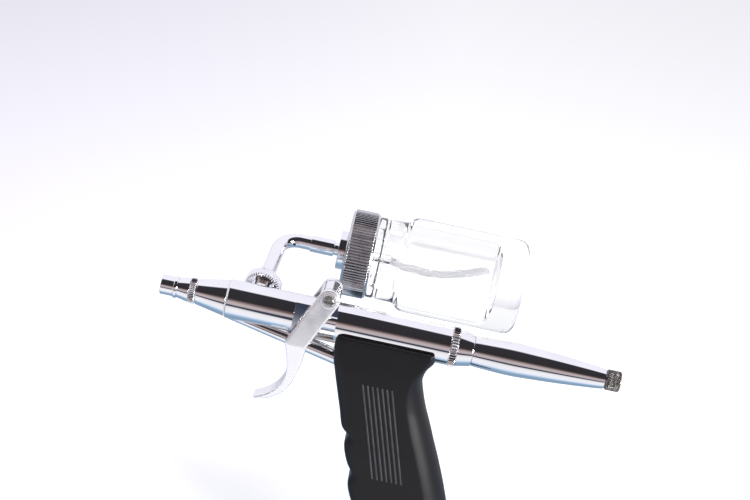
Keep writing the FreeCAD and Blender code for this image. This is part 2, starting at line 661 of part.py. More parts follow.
def trigger_side():
    """Side face of the trigger, closed round the pivot end."""
    front = [V(X_PIVOT + x, 0, PIVOT_Z + z) for x, z in LEVER_FRONT]
    rear = [V(X_PIVOT + x, 0, PIVOT_Z + z) for x, z in LEVER_REAR]
    pivot = V(X_PIVOT, 0, PIVOT_Z)

    def tangent_point(foot, side):
        reach = foot - pivot
        turn = math.acos(ARM_HALF_W / reach.Length)
        heading = math.atan2(reach.z, reach.x) + side * turn
        return pivot + V(math.cos(heading), 0, math.sin(heading)) * ARM_HALF_W

    left = tangent_point(front[0], -1)
    right = tangent_point(rear[-1], 1)
    edge_dir = front[0] - left
    edge_dir.normalize()
    top = pivot - (front[0] - pivot).normalize() * ARM_HALF_W
    front_curve = Part.BSplineCurve()
    front_curve.interpolate(front, InitialTangent=edge_dir, FinalTangent=front[-1] - front[-2])
    rear_curve = Part.BSplineCurve()
    rear_curve.interpolate(rear)
    middle = (front[-1] + rear[0]) * 0.5
    out = (middle - (front[-2] + rear[1]) * 0.5).normalize()
    tip = middle + out * (front[-1] - rear[0]).Length * 0.5
    edges = [Part.makeLine(left, front[0]), front_curve.toShape(),
             Part.Arc(front[-1], tip, rear[0]).toShape(), rear_curve.toShape(),
             Part.makeLine(rear[-1], right), Part.Arc(right, top, left).toShape()]
    return Part.Face(Part.Wire(edges))


def trigger():
    """Fork and finger lever in one piece."""
    side = trigger_side()
    side.translate(V(0, -ARM_OUT, 0))
    whole = side.extrude(V(0, 2 * ARM_OUT, 0))
    low = PIVOT_Z + LEVER_FRONT[-1][1] - ARM_HALF_W
    taper_top = LEVER_TAPER_TOP_Z
    front_view = [V(0, -ARM_OUT, FAR), V(0, -ARM_OUT, taper_top), V(0, -LEVER_TIP_HALF_W, low),
                  V(0, LEVER_TIP_HALF_W, low), V(0, ARM_OUT, taper_top), V(0, ARM_OUT, FAR)]
    envelope = Part.Face(Part.makePolygon(front_view + front_view[:1])).extrude(V(FAR, 0, 0))
    shaped = whole.common(envelope)
    shaped = shaped.cut(block(0, FAR, -ARM_IN, ARM_IN, FORK_BOTTOM_Z, FAR))
    boss = cross_rod(PIVOT_BOSS_R, X_PIVOT, PIVOT_Z, -ARM_OUT - PIVOT_BOSS_T, -ARM_OUT)
    pivot_hole = cross_rod(PIVOT_PIN_R + SLIDE_GAP, X_PIVOT, PIVOT_Z, -FAR, FAR)
    return shaped.fuse(boss).cut(pivot_hole)


def push_pin(radius, x, z):
    return cross_rod(radius, X_PIVOT + x, PIVOT_Z + z, -ARM_IN, ARM_IN)


def pivot_screw():
    """Slotted shoulder screw through both arms and the lug."""
    face = -ARM_OUT - PIVOT_BOSS_T - FACE_GAP
    end = ARM_OUT + FACE_GAP + PIVOT_NUT_T + PIVOT_END_PROUD
    shank = cross_rod(PIVOT_PIN_R, X_PIVOT, PIVOT_Z, face, end)
    head = cross_rod(PIVOT_HEAD_R, X_PIVOT, PIVOT_Z, face - PIVOT_HEAD_T, face)
    head = head.makeChamfer(EDGE, [e for e in head.Edges if e.BoundBox.YMax < face - EDGE])
    slot = block(X_PIVOT - PIVOT_HEAD_R, X_PIVOT + PIVOT_HEAD_R, face - PIVOT_HEAD_T,
                 face - PIVOT_HEAD_T + PIVOT_SLOT_D, PIVOT_Z - PIVOT_SLOT_W / 2, PIVOT_Z + PIVOT_SLOT_W / 2)
    return shank.fuse(head).cut(slot)


def pivot_nut():
    start = ARM_OUT + FACE_GAP
    nut = cross_rod(PIVOT_NUT_R, X_PIVOT, PIVOT_Z, start, start + PIVOT_NUT_T)
    nut = nut.makeChamfer(EDGE, [e for e in nut.Edges if e.BoundBox.YMin > start + EDGE])
    return nut.cut(cross_rod(PIVOT_PIN_R + THREAD_GAP, X_PIVOT, PIVOT_Z, start, start + PIVOT_NUT_T))


def valve_rod():
    """Push rod, thin neck through the seat, and the head that the spring presses."""
    shape = turned([(X_ROD, 0), (X_ROD, VALVE_ROD_R), (X_VALVE_FRONT, VALVE_ROD_R),
                    (X_VALVE_FRONT, VALVE_NECK_R), (X_VALVE_HEAD, VALVE_NECK_R),
                    (X_VALVE_HEAD, VALVE_HEAD_R), (X_VALVE_SPRING, VALVE_HEAD_R), (X_VALVE_SPRING, 0)])
    shape.translate(V(0, 0, VALVE_Z))
    return shape


def valve_spring():
    pad = VALVE_SPRING_WIRE_R + FACE_GAP
    return coil(VALVE_SPRING_R, VALVE_SPRING_WIRE_R, X_VALVE_SPRING + pad, X_VALVE_PLUG - pad,
                VALVE_SPRING_TURNS, VALVE_Z)


def valve_plug():
    plug = rod(VALVE_REAR_ROOM_R - THREAD_GAP, X_VALVE_PLUG, X_VALVE_BOSS_END, 0, VALVE_Z)
    slot = block(X_VALVE_BOSS_END - PACKING_SLOT_D, X_VALVE_BOSS_END, -VALVE_REAR_ROOM_R,
                 VALVE_REAR_ROOM_R, VALVE_Z - PACKING_SLOT_W / 2, VALVE_Z + PACKING_SLOT_W / 2)
    return plug.cut(slot)


def grip_section(z, front, rear, half):
    """Level outline of the grip: small rounds in front, large ones behind."""
    x0, x1 = X_SLOT_END + front, X_BODY_END + rear
    rf, rr = GRIP_FRONT_ROUND, min(GRIP_REAR_ROUND, half - EDGE)
    k = 1 - math.sqrt(0.5)

    def corner(a, b, c):
        return Part.Arc(V(*a, z), V(*b, z), V(*c, z)).toShape()

    def side(a, b):
        return Part.makeLine(V(*a, z), V(*b, z))

    return Part.Wire([
        side((x0 + rf, -half), (x1 - rr, -half)),
        corner((x1 - rr, -half), (x1 - k * rr, -half + k * rr), (x1, -half + rr)),
        side((x1, -half + rr), (x1, half - rr)),
        corner((x1, half - rr), (x1 - k * rr, half - k * rr), (x1 - rr, half)),
        side((x1 - rr, half), (x0 + rf, half)),
        corner((x0 + rf, half), (x0 + k * rf, half - k * rf), (x0, half - rf)),
        side((x0, half - rf), (x0, -half + rf)),
        corner((x0, -half + rf), (x0 + k * rf, -half + k * rf), (x0 + rf, -half)),
    ])


def grip_half_width(z):
    """Half width of the grip at a height, between its stations."""
    for above, below in zip(GRIP_STATIONS, GRIP_STATIONS[1:]):
        if below[0] <= z <= above[0]:
            share = (above[0] - z) / (above[0] - below[0])
            return above[3] + (below[3] - above[3]) * share
    return GRIP_STATIONS[-1][3]


def grip_ribs():
    """Slanting ribs on both sides, each just proud of the surface."""
    ribs = []
    half = grip_half_width(RIB_TOP_Z - RIB_LEN / 2)
    for side in (-1, 1):
        for k in range(RIB_COUNT):
            y0, y1 = sorted((side * (half - 1.0), side * (half + RIB_PROUD)))
            rib = block(0, RIB_W, y0, y1, -RIB_LEN, 0)
            rib.rotate(V(0, 0, 0), V(0, 1, 0), -RIB_LEAN)
            rib.translate(V(X_BODY_END - RIB_BEFORE_END + RIB_PITCH * k, 0, RIB_TOP_Z))
            ribs.append(rib)
    return ribs


def grip():
    """Moulded grip: saddle round the barrel, raked handle, hollow for the metal inside."""
    whole = Part.makeLoft([grip_section(*station) for station in GRIP_STATIONS], True, False)
    whole = whole.fuse(grip_ribs())
    below = along(block(GRIP_LEN, GRIP_LEN + FAR, -FAR / 2, FAR / 2, -FAR / 2, FAR / 2), GRIP_BASE, GRIP_DIR)
    gap = GRIP_GAP
    cuts = [
        below,
        rod(BODY_R + gap, X_SLOT, X_HANDLE_END),
        rod(VALVE_BOSS_R + gap, X_SLOT, X_VALVE_BOSS_END + gap, 0, VALVE_Z),
        block(X_BLOCK - gap, X_BLOCK + BLOCK_LEN + gap, -VALVE_BOSS_R - gap, VALVE_BOSS_R + gap,
              BLOCK_BOTTOM_Z - gap, 0),
        passage(air_tube_point(X_SLOT), air_tube_point(X_BLOCK + AIR_TUBE_R), AIR_TUBE_R + gap),
        passage(grip_point(0), grip_point(GRIP_LEN), RISER_R + gap),
        passage(grip_point(GRIP_LEN - FITTING_TENON_LEN - FACE_GAP), grip_point(GRIP_LEN),
                FITTING_TENON_R + gap),
    ]
    return whole.cut(cuts)


def air_riser():
    top = -BLOCK_BOTTOM_Z / math.cos(math.radians(GRIP_RAKE)) - RISER_IN_BLOCK
    end = GRIP_LEN - FITTING_TENON_LEN + RISER_IN_FITTING
    return passage(grip_point(top), grip_point(end), RISER_R).cut(
        passage(grip_point(top), grip_point(end), RISER_BORE_R))


def grip_washer():
    return along(ring(WASHER_R, FITTING_TENON_R + GRIP_GAP, GRIP_LEN, GRIP_LEN + WASHER_T),
                 GRIP_BASE, GRIP_DIR)


def hose_fitting():
    """Tenon on the riser, collar, hexagon and the male thread for the air hose."""
    top = GRIP_LEN - FITTING_TENON_LEN
    collar = GRIP_LEN + WASHER_T
    hexagon_top = collar + FITTING_COLLAR_T
    thread = hexagon_top + FITTING_HEX_T
    end = thread + HOSE_THREAD_LEN
    outside = turned([(top, 0), (top, FITTING_TENON_R), (collar, FITTING_TENON_R),
                      (collar, FITTING_COLLAR_R), (hexagon_top, FITTING_COLLAR_R),
                      (hexagon_top, HOSE_THREAD_R), (end - EDGE, HOSE_THREAD_R),
                      (end, HOSE_THREAD_R - EDGE), (end, 0)])
    outside = outside.fuse(hexagon(FITTING_HEX_AF, hexagon_top, thread))
    inside = rod(RISER_R + THREAD_GAP, top, top + RISER_IN_FITTING)
    fitting = outside.cut([inside, rod(HOSE_BORE_R, top, end)])
    return along(fitting, GRIP_BASE, GRIP_DIR)


def union_nut():
    """Knurled nut: thread on the boss, lip behind the feed tube's ferrule."""
    start = UNION_NUT_FROM_AXIS
    end = start + UNION_NUT_LEN
    thread = BOSS_R + SLIDE_GAP
    lip = BOSS_LEN + FEED_SEAL_T + FERRULE_T + FACE_GAP
    hole = FEED_TUBE_R + SLIDE_GAP
    nut = turned([(start, thread), (start, UNION_NUT_R - EDGE), (start + EDGE, UNION_NUT_R),
                  (end - EDGE, UNION_NUT_R), (end, UNION_NUT_R - EDGE), (end, hole), (lip, hole),
                  (lip, thread)])
    return along(nut, FEED_BASE, FEED_DIR)


def feed_seal():
    return along(ring(FERRULE_R, FEED_BORE_R, BOSS_LEN, BOSS_LEN + FEED_SEAL_T), FEED_BASE, FEED_DIR)


def feed_elbow():
    """Ferrule and bent tube, from the union to the lid boss."""
    run_out = FEED_BEND_R * math.tan(FEED_TURN / 2)
    start = FEED_BASE + FEED_DIR * (BOSS_LEN + FEED_SEAL_T)
    bend_in = CORNER - FEED_DIR * run_out
    bend_out = CORNER + V(run_out, 0, 0)
    end = V(X_SLEEVE + SLEEVE_SOCKET_LEN, CORNER.y, CORNER.z)
    inward = (V(1, 0, 0) - FEED_DIR).normalize()
    centre = CORNER + inward * (FEED_BEND_R / math.cos(FEED_TURN / 2))
    bend_mid = centre - inward * FEED_BEND_R
    path = Part.Wire([Part.makeLine(start, bend_in), Part.Arc(bend_in, bend_mid, bend_out).toShape(),
                      Part.makeLine(bend_out, end)])

    def swept(radius):
        section = Part.Wire(Part.Circle(start, FEED_DIR, radius).toShape())
        return path.makePipeShell([section], True, False)

    ferrule = along(rod(FERRULE_R, BOSS_LEN + FEED_SEAL_T, BOSS_LEN + FEED_SEAL_T + FERRULE_T),
                    FEED_BASE, FEED_DIR)
    return swept(FEED_TUBE_R).fuse(ferrule).cut(swept(FEED_BORE_R))


def on_jar_axis(shape):
    """Moves a piece made about X onto the axis of the lid and jar."""
    shape.translate(V(0, CORNER.y, CORNER.z))
    return shape


def lid_boss():
    """Sleeve on the feed tube, neck, disc and the threaded stem through the lid."""
    socket = FEED_TUBE_R + THREAD_GAP
    socket_end = X_SLEEVE + SLEEVE_SOCKET_LEN + FACE_GAP
    stem_end = X_LID + LID_STEM_LEN
    return on_jar_axis(turned([
        (X_SLEEVE, socket), (X_SLEEVE, SLEEVE_R), (X_NECK, SLEEVE_R), (X_NECK, NECK_R),
        (X_DISC, NECK_R), (X_DISC, DISC_R - EDGE), (X_DISC + EDGE, DISC_R), (X_LID, DISC_R),
        (X_LID, LID_STEM_R), (stem_end, LID_STEM_R), (stem_end, FEED_BORE_R),
        (socket_end, FEED_BORE_R), (socket_end, socket)]))


def lid_nut():
    start = X_GASKET
    nut = hexagon(LID_NUT_AF, start, start + LID_NUT_T)
    return on_jar_axis(nut.cut(rod(LID_STEM_R + THREAD_GAP, start, start + LID_NUT_T)))


def jar_lid():
    """Cup with a ridged skirt, open towards the jar."""
    inner = LID_R - LID_SKIRT_T
    hole = LID_STEM_R + THREAD_GAP
    return on_jar_axis(turned([
        (X_LID, hole), (X_LID, LID_R - EDGE), (X_LID + EDGE, LID_R), (X_LID_END - EDGE, LID_R),
        (X_LID_END, LID_R - EDGE), (X_LID_END, inner), (X_GASKET, inner), (X_GASKET, hole)]))


def lid_gasket():
    return on_jar_axis(ring(LID_R - LID_SKIRT_T - THREAD_GAP, GASKET_HOLE_R, X_GASKET, X_JAR))


def siphon_stub():
    """Nipple that the siphon tube pushes onto."""
    step = X_LID_END + STUB_BEAD_T
    return on_jar_axis(turned([
        (X_STUB, FEED_BORE_R), (X_STUB, LID_STEM_R - EDGE), (X_STUB + EDGE, LID_STEM_R - EDGE),
        (X_STUB + EDGE, STUB_R), (step, STUB_R), (step, STUB_BEAD_R), (step + STUB_BEAD_T, STUB_BEAD_R),
        (step + STUB_BEAD_T, STUB_R), (X_STUB_END, STUB_R), (X_STUB_END, FEED_BORE_R)]))


def siphon_tube():
    """Clear tube: in the stub's end, sagging in the middle and rising to the jar's base."""
    start = V(X_STUB_END, 0, 0)
    end = V(X_JAR_END - JAR_BASE_T - SIPHON_GAP_TO_BASE, 0, SIPHON_RISE)
    span = end.x - start.x
    middle = V(start.x + span / 2, 0, -SIPHON_SAG)
    first = V(start.x + span / 4, 0, -SIPHON_SAG)
    path = Part.BSplineCurve()
    path.interpolate([start, first, middle, V(start.x + span * 3 / 4, 0, SIPHON_RISE / 5), end],
                     InitialTangent=V(1, 0, 0), FinalTangent=V(1, 0, SIPHON_END_SLOPE))
    wire = Part.Wire(path.toShape())

    def swept(radius):
        section = Part.Wire(Part.Circle(start, V(1, 0, 0), radius).toShape())
        return wire.makePipeShell([section], True, False)

    return on_jar_axis(swept(SIPHON_R).cut(swept(SIPHON_BORE_R)))


def jar():
    """Glass jar with a thick wall and base."""
    collar = X_LID_END + THREAD_GAP
    shoulder = collar + JAR_COLLAR_LEN
    body = shoulder + JAR_SHOULDER_LEN
    neck = LID_R - LID_SKIRT_T - JAR_NECK_GAP
    r = JAR_BASE_ROUND
    k = r * (1 - math.sqrt(0.5))
    inner_end = X_JAR_END - JAR_BASE_T
    shell = turned([
        (X_JAR, JAR_BORE_R), (X_JAR, neck), (collar, neck), (collar, JAR_COLLAR_R),
        (shoulder, JAR_COLLAR_R), (body, JAR_R), (X_JAR_END - r, JAR_R), (X_JAR_END - k, JAR_R - k),
        (X_JAR_END, JAR_R - r), (X_JAR_END, 0), (inner_end, 0), (inner_end, JAR_BORE_R - r),
        (inner_end - k, JAR_BORE_R - k), (inner_end - r, JAR_BORE_R)])
    return on_jar_axis(shell)


PIECES = {
    "needle_cap": needle_cap,
    "air_cap": air_cap,
    "fluid_nozzle": fluid_nozzle,
    "head_ring": head_ring,
    "fluid_head": fluid_head,
    "head_seal": head_seal,
    "main_body": main_body,
    "air_tube": air_tube,
    "needle_packing": needle_packing,
    "packing_screw": packing_screw,
    "needle": needle,
    "needle_tube": needle_tube,
    "needle_spring": needle_spring,
    "spring_guide": spring_guide,
    "chuck_nut": chuck_nut,
    "rear_ring": rear_ring,
    "handle_collar": handle_collar,
    "tail_handle": tail_handle,
    "limit_stem": limit_stem,
    "limit_knob": limit_knob,
    "trigger": trigger,
    "needle_push_pin": lambda: push_pin(NEEDLE_PIN_R, NEEDLE_PIN_X, NEEDLE_PIN_Z),
    "valve_push_pin": lambda: push_pin(VALVE_PIN_R, VALVE_PIN_X, VALVE_PIN_Z),
    "pivot_screw": pivot_screw,
    "pivot_nut": pivot_nut,
    "valve_rod": valve_rod,
    "valve_packing": lambda: ring(VALVE_PACKING_R, VALVE_ROD_R + SLIDE_GAP, X_VALVE_PACKING,
                                  X_VALVE_FRONT, 0, VALVE_Z),
    "valve_seat": lambda: ring(VALVE_REAR_ROOM_R - THREAD_GAP, VALVE_SEAT_HOLE_R, X_VALVE_SEAT,
                               X_VALVE_REAR, 0, VALVE_Z),
    "valve_seal": lambda: ring(VALVE_SEAL_R, VALVE_NECK_R, X_VALVE_REAR, X_VALVE_HEAD, 0, VALVE_Z),
    "valve_spring": valve_spring,
    "valve_plug": valve_plug,
    "grip": grip,
    "air_riser": air_riser,
    "grip_washer": grip_washer,
    "hose_fitting": hose_fitting,
    "union_nut": union_nut,
    "feed_seal": feed_seal,
    "feed_elbow": feed_elbow,
    "lid_boss": lid_boss,
    "lid_nut": lid_nut,
    "jar_lid": jar_lid,
    "lid_gasket": lid_gasket,
    "siphon_stub": siphon_stub,
    "siphon_tube": siphon_tube,
    "jar": jar,
}

os.makedirs("parts", exist_ok=True)
for name, make in PIECES.items():
    piece = make()
    piece.exportStep(f"parts/{name}.step")
    print(name, len(piece.Solids), round(piece.Volume, 1), piece.isValid())
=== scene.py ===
import json
import math
import bpy
import bmesh
from mathutils import Matrix, Vector


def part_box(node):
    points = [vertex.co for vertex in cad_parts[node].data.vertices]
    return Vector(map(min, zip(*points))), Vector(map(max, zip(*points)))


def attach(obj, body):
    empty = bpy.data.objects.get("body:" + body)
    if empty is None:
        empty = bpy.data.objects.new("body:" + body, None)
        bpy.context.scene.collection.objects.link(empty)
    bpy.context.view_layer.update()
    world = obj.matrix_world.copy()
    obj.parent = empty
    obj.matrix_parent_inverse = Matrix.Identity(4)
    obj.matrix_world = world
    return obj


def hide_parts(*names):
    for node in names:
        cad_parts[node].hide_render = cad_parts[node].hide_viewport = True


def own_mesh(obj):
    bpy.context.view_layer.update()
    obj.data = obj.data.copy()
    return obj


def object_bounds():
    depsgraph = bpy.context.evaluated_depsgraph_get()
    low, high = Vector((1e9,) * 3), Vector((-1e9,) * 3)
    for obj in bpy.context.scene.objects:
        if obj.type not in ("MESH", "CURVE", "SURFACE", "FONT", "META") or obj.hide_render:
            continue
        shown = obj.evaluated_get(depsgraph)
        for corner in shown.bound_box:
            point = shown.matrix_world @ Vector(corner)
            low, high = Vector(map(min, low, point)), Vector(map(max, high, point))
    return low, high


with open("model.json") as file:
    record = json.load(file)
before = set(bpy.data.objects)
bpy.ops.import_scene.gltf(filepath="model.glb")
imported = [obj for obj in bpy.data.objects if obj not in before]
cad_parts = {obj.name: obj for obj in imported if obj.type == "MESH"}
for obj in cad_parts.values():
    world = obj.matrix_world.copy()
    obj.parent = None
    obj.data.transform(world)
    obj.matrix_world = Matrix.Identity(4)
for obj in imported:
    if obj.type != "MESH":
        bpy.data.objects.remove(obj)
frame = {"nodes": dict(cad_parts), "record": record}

CAD_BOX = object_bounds()
MM = 0.001

# Photograph's frame and camera, in pixels and millimetres
IMAGE_W = 750
FOCAL_PX = 1675.0
SENSOR_W = 36.0
CAMERA_PLACE = (76.1, -596.2, 236.2)
CAMERA_RIGHT = (0.9777, 0.0668, 0.1992)
CAMERA_UP = (-0.2101, 0.3178, 0.9246)

# Turned detail, in millimetres
EDGE_ROUND = 0.25
FINE_ROUND = 0.18
STEPS = 96
STEPS_PER_TOOTH = 8
STEPS_PER_RIDGE = 6
COIL_STEPS = 24
BEND_STEPS = 24
ON_AXIS = 1e-6
PLAIN_RIM = 0.35
HEAD_TEETH = 44
HEAD_TOOTH_DEPTH = 0.3
REAR_TEETH = 40
REAR_TOOTH_DEPTH = 0.7
UNION_TEETH = 43
UNION_TOOTH_DEPTH = 0.85
LID_RIDGES = 92
LID_RIDGE_DEPTH = 0.65
KNOB_TEETH = 30
KNOB_TOOTH_DEPTH = 0.4
HOSE_PITCH = 0.907
HOSE_THREAD_DEPTH = 0.5
JAR_PITCH = 3.2
JAR_THREAD_DEPTH = 0.55

# Feed pipe and its ferrule, with places measured from the barrel's axis
UNION_PLACE = 12.15
ELBOW_BEND = 8.0
PIPE_R, PIPE_BORE = 2.8, 1.5
FERRULE_START, FERRULE_END = 12.5, 13.4
FERRULE_BORE, FERRULE_R = 2.7, 4.2

# Axes away from the barrel, from the joints' own axes; the feed's base is on the barrel's axis
JOINTS = {joint["name"]: joint for joint in frame["record"]["behaviour"]["joints"]}
FEED_DIR = Vector(JOINTS["union_turn"]["axis"]).normalized()
FEED_BASE = Vector(JOINTS["union_turn"]["pos_m"]) - FEED_DIR * UNION_PLACE * MM
PIVOT = Vector(JOINTS["trigger_pull"]["pos_m"]) / MM
VALVE_DROP = 7.4


def span(node):
    """Lowest and highest corner of a CAD node, in millimetres."""
    low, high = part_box(node)
    return low / MM, high / MM


def jar_axis():
    """Place of the axis of the lid and jar, in metres."""
    low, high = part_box("jar")
    return Vector((0, (low.y + high.y) / 2, (low.z + high.z) / 2))


# Finishes; a noise is read between these two values
NOISE_LOW, NOISE_HIGH = 0.3, 0.7


def finish(name, colour, metallic, rough):
    """New material with its shader's own sockets set; gives back the material, its tree and its shader."""
    stuff = bpy.data.materials.new(name)
    stuff.use_nodes = True
    shader = stuff.node_tree.nodes["Principled BSDF"]
    shader.inputs["Base Color"].default_value = (*colour, 1)
    shader.inputs["Metallic"].default_value = metallic
    shader.inputs["Roughness"].default_value = rough
    return stuff, stuff.node_tree, shader


def noise(tree, scale, detail=3.0, stretch=(1, 1, 1)):
    """Noise on Object coordinates, drawn out along the axes where stretch is small."""
    place = tree.nodes.new("ShaderNodeTexCoord")
    mapping = tree.nodes.new("ShaderNodeMapping")
    mapping.inputs["Scale"].default_value = stretch
    grain = tree.nodes.new("ShaderNodeTexNoise")
    grain.inputs["Scale"].default_value = scale
    grain.inputs["Detail"].default_value = detail
    tree.links.new(place.outputs["Object"], mapping.inputs["Vector"])
    tree.links.new(mapping.outputs["Vector"], grain.inputs["Vector"])
    return grain.outputs["Fac"]


def spread(tree, shader, value, low, high):
    """Roughness that runs from low to high with a noise."""
    scale = tree.nodes.new("ShaderNodeMapRange")
    scale.inputs["From Min"].default_value = NOISE_LOW
    scale.inputs["From Max"].default_value = NOISE_HIGH
    scale.inputs["To Min"].default_value = low
    scale.inputs["To Max"].default_value = high
    tree.links.new(value, scale.inputs["Value"])
    tree.links.new(scale.outputs["Result"], shader.inputs["Roughness"])


def tint(tree, shader, value, first, second):
    """Colour that drifts between two close tones with a noise."""
    ramp = tree.nodes.new("ShaderNodeValToRGB")
    for stop, place, tone in zip(ramp.color_ramp.elements, (NOISE_LOW, NOISE_HIGH), (first, second)):
        stop.position = place
        stop.color = (*tone, 1)
    tree.links.new(value, ramp.inputs["Fac"])
    tree.links.new(ramp.outputs["Color"], shader.inputs["Base Color"])


def relief(tree, shader, value, strength, depth):
    """Bump of a real depth in metres."""
    bump = tree.nodes.new("ShaderNodeBump")
    bump.inputs["Strength"].default_value = strength
    bump.inputs["Distance"].default_value = depth
    tree.links.new(value, bump.inputs["Height"])
    tree.links.new(bump.outputs["Normal"], shader.inputs["Normal"])


def chrome():
    """Bright plating with faint polishing marks round the barrel."""
    stuff, tree, shader = finish("chrome", (0.93, 0.93, 0.95), 1, 0.05)
    wear = noise(tree, 90, 4)
    spread(tree, shader, wear, 0.025, 0.07)
    tint(tree, shader, wear, (0.90, 0.90, 0.925), (0.95, 0.95, 0.965))
    relief(tree, shader, noise(tree, 900, 2, (6, 0.6, 0.6)), 0.06, 0.00001)
    return stuff


def satin_chrome():
    """Cast and plated trigger: softer reflections and a slightly uneven skin."""
    stuff, tree, shader = finish("satin_chrome", (0.93, 0.93, 0.955), 0.82, 0.26)
    cloud = noise(tree, 160, 4)
    spread(tree, shader, cloud, 0.19, 0.31)
    tint(tree, shader, cloud, (0.90, 0.90, 0.93), (0.97, 0.97, 0.99))
    relief(tree, shader, noise(tree, 700, 3), 0.12, 0.00004)
    return stuff


def lid_chrome():
    """Duller plating on the ridged lid."""
    stuff, tree, shader = finish("lid_chrome", (0.66, 0.66, 0.68), 1, 0.16)
    cloud = noise(tree, 220, 4)
    spread(tree, shader, cloud, 0.11, 0.22)
    tint(tree, shader, cloud, (0.62, 0.62, 0.64), (0.74, 0.74, 0.76))
    relief(tree, shader, noise(tree, 1500, 2), 0.08, 0.00002)
    return stuff


def dark_metal():
    """Gunmetal plating of the limit knob, rubbed lighter in places."""
    stuff, tree, shader = finish("dark_metal", (0.22, 0.21, 0.2), 1, 0.3)
    rub = noise(tree, 600, 4)
    spread(tree, shader, rub, 0.26, 0.45)
    tint(tree, shader, rub, (0.17, 0.16, 0.152), (0.3, 0.285, 0.27))
    relief(tree, shader, rub, 0.1, 0.00004)
    return stuff


def grip_plastic():
    """Black moulded plastic with a fine spark-eroded grain and handled patches."""
    stuff, tree, shader = finish("grip_plastic", (0.005, 0.0046, 0.0056), 0, 0.38)
    grain = noise(tree, 2600, 3)
    spread(tree, shader, noise(tree, 45, 3), 0.34, 0.43)
    tint(tree, shader, grain, (0.004, 0.0037, 0.0046), (0.0075, 0.007, 0.0084))
    shader.inputs["Specular IOR Level"].default_value = 0.27
    relief(tree, shader, grain, 0.35, 0.00006)
    return stuff


def rib_plastic():
    """The same moulding, made paler all over than the grip, its tone drifting with a noise."""
    # Base colour several times paler than the grip's, over the whole of every rib
    stuff, tree, shader = finish("rib_plastic", (0.05, 0.048, 0.054), 0, 0.38)
    rub = noise(tree, 300, 3)
    spread(tree, shader, rub, 0.3, 0.46)
    tint(tree, shader, rub, (0.022, 0.021, 0.024), (0.045, 0.043, 0.048))
    relief(tree, shader, noise(tree, 2600, 3), 0.3, 0.00005)
    return stuff


def glass():
    """Thick pressed glass with slow ripples."""
    stuff, tree, shader = finish("glass", (1.0, 1.0, 1.0), 0, 0.01)
    shader.inputs["Transmission Weight"].default_value = 1
    shader.inputs["IOR"].default_value = 1.46
    spread(tree, shader, noise(tree, 130, 3), 0.0, 0.05)
    relief(tree, shader, noise(tree, 55, 2, (0.5, 1, 1)), 0.25, 0.0006)
    return stuff


def clear_tube():
    """Soft clear tube, slightly milky."""
    stuff, tree, shader = finish("clear_tube", (0.95, 0.955, 0.97), 0, 0.18)
    shader.inputs["Transmission Weight"].default_value = 0.75
    shader.inputs["IOR"].default_value = 1.4
    spread(tree, shader, noise(tree, 300, 3), 0.12, 0.28)
    relief(tree, shader, noise(tree, 500, 2), 0.1, 0.00005)
    return stuff


def metal_inside(name, light, dark, rough):
    """Machined metal with turning marks."""
    stuff, tree, shader = finish(name, light, 1, rough)
    marks = noise(tree, 1200, 3, (5, 0.6, 0.6))
    spread(tree, shader, marks, rough - 0.06, rough + 0.08)
    tint(tree, shader, marks, dark, light)
    relief(tree, shader, marks, 0.15, 0.00002)
    return stuff


def soft_inside(name, light, dark, rough):
    """Turned or punched plastic and rubber."""
    stuff, tree, shader = finish(name, light, 0, rough)
    cloud = noise(tree, 900, 3)
    spread(tree, shader, cloud, rough - 0.07, rough + 0.07)
    tint(tree, shader, cloud, dark, light)
    relief(tree, shader, cloud, 0.2, 0.00005)
    return stuff


FINISHES = {
    "chrome": chrome(),
    "satin_chrome": satin_chrome(),
    "lid_chrome": lid_chrome(),
    "dark_metal": dark_metal(),
    "grip_plastic": grip_plastic(),
    "rib_plastic": rib_plastic(),
    "glass": glass(),
    "clear_tube": clear_tube(),
    "brass": metal_inside("brass", (0.78, 0.56, 0.25), (0.68, 0.47, 0.2), 0.24),
    "steel": metal_inside("steel", (0.62, 0.61, 0.6), (0.5, 0.49, 0.48), 0.26),
    "ptfe": soft_inside("ptfe", (0.84, 0.84, 0.82), (0.76, 0.76, 0.74), 0.42),
    "rubber": soft_inside("rubber", (0.03, 0.03, 0.032), (0.018, 0.018, 0.02), 0.62),
}

# Grown detail
def maths(tree, operation, *values):
    """Math node fed by numbers or sockets; gives back what it works out."""
    node = tree.nodes.new("ShaderNodeMath")
    node.operation = operation
    for socket, value in zip(node.inputs, values):
        if isinstance(value, (int, float)):
            socket.default_value = value
        else:
            tree.links.new(value, socket)
    return node.outputs[0]


def new_tree(name, *sizes):
    """Node tree that takes a geometry, named sizes and a material; gives back the tree and its inlet."""
    tree = bpy.data.node_groups.new(name, "GeometryNodeTree")
    tree.interface.new_socket("Geometry", in_out="INPUT", socket_type="NodeSocketGeometry")
    for size in sizes:
        tree.interface.new_socket(size, in_out="INPUT", socket_type="NodeSocketFloat")
    tree.interface.new_socket("Material", in_out="INPUT", socket_type="NodeSocketMaterial")
    tree.interface.new_socket("Geometry", in_out="OUTPUT", socket_type="NodeSocketGeometry")
    return tree, tree.nodes.new("NodeGroupInput")


def end_tree(tree, geometry, inlet):
    """Last steps of a tree: its geometry is made real and takes the material that came in."""
    real = tree.nodes.new("GeometryNodeRealizeInstances")
    dress = tree.nodes.new("GeometryNodeSetMaterial")
    outlet = tree.nodes.new("NodeGroupOutput")
    tree.links.new(geometry, real.inputs["Geometry"])
    tree.links.new(real.outputs["Geometry"], dress.inputs["Geometry"])
    tree.links.new(inlet.outputs["Material"], dress.inputs["Material"])
    tree.links.new(dress.outputs["Geometry"], outlet.inputs["Geometry"])
    return tree


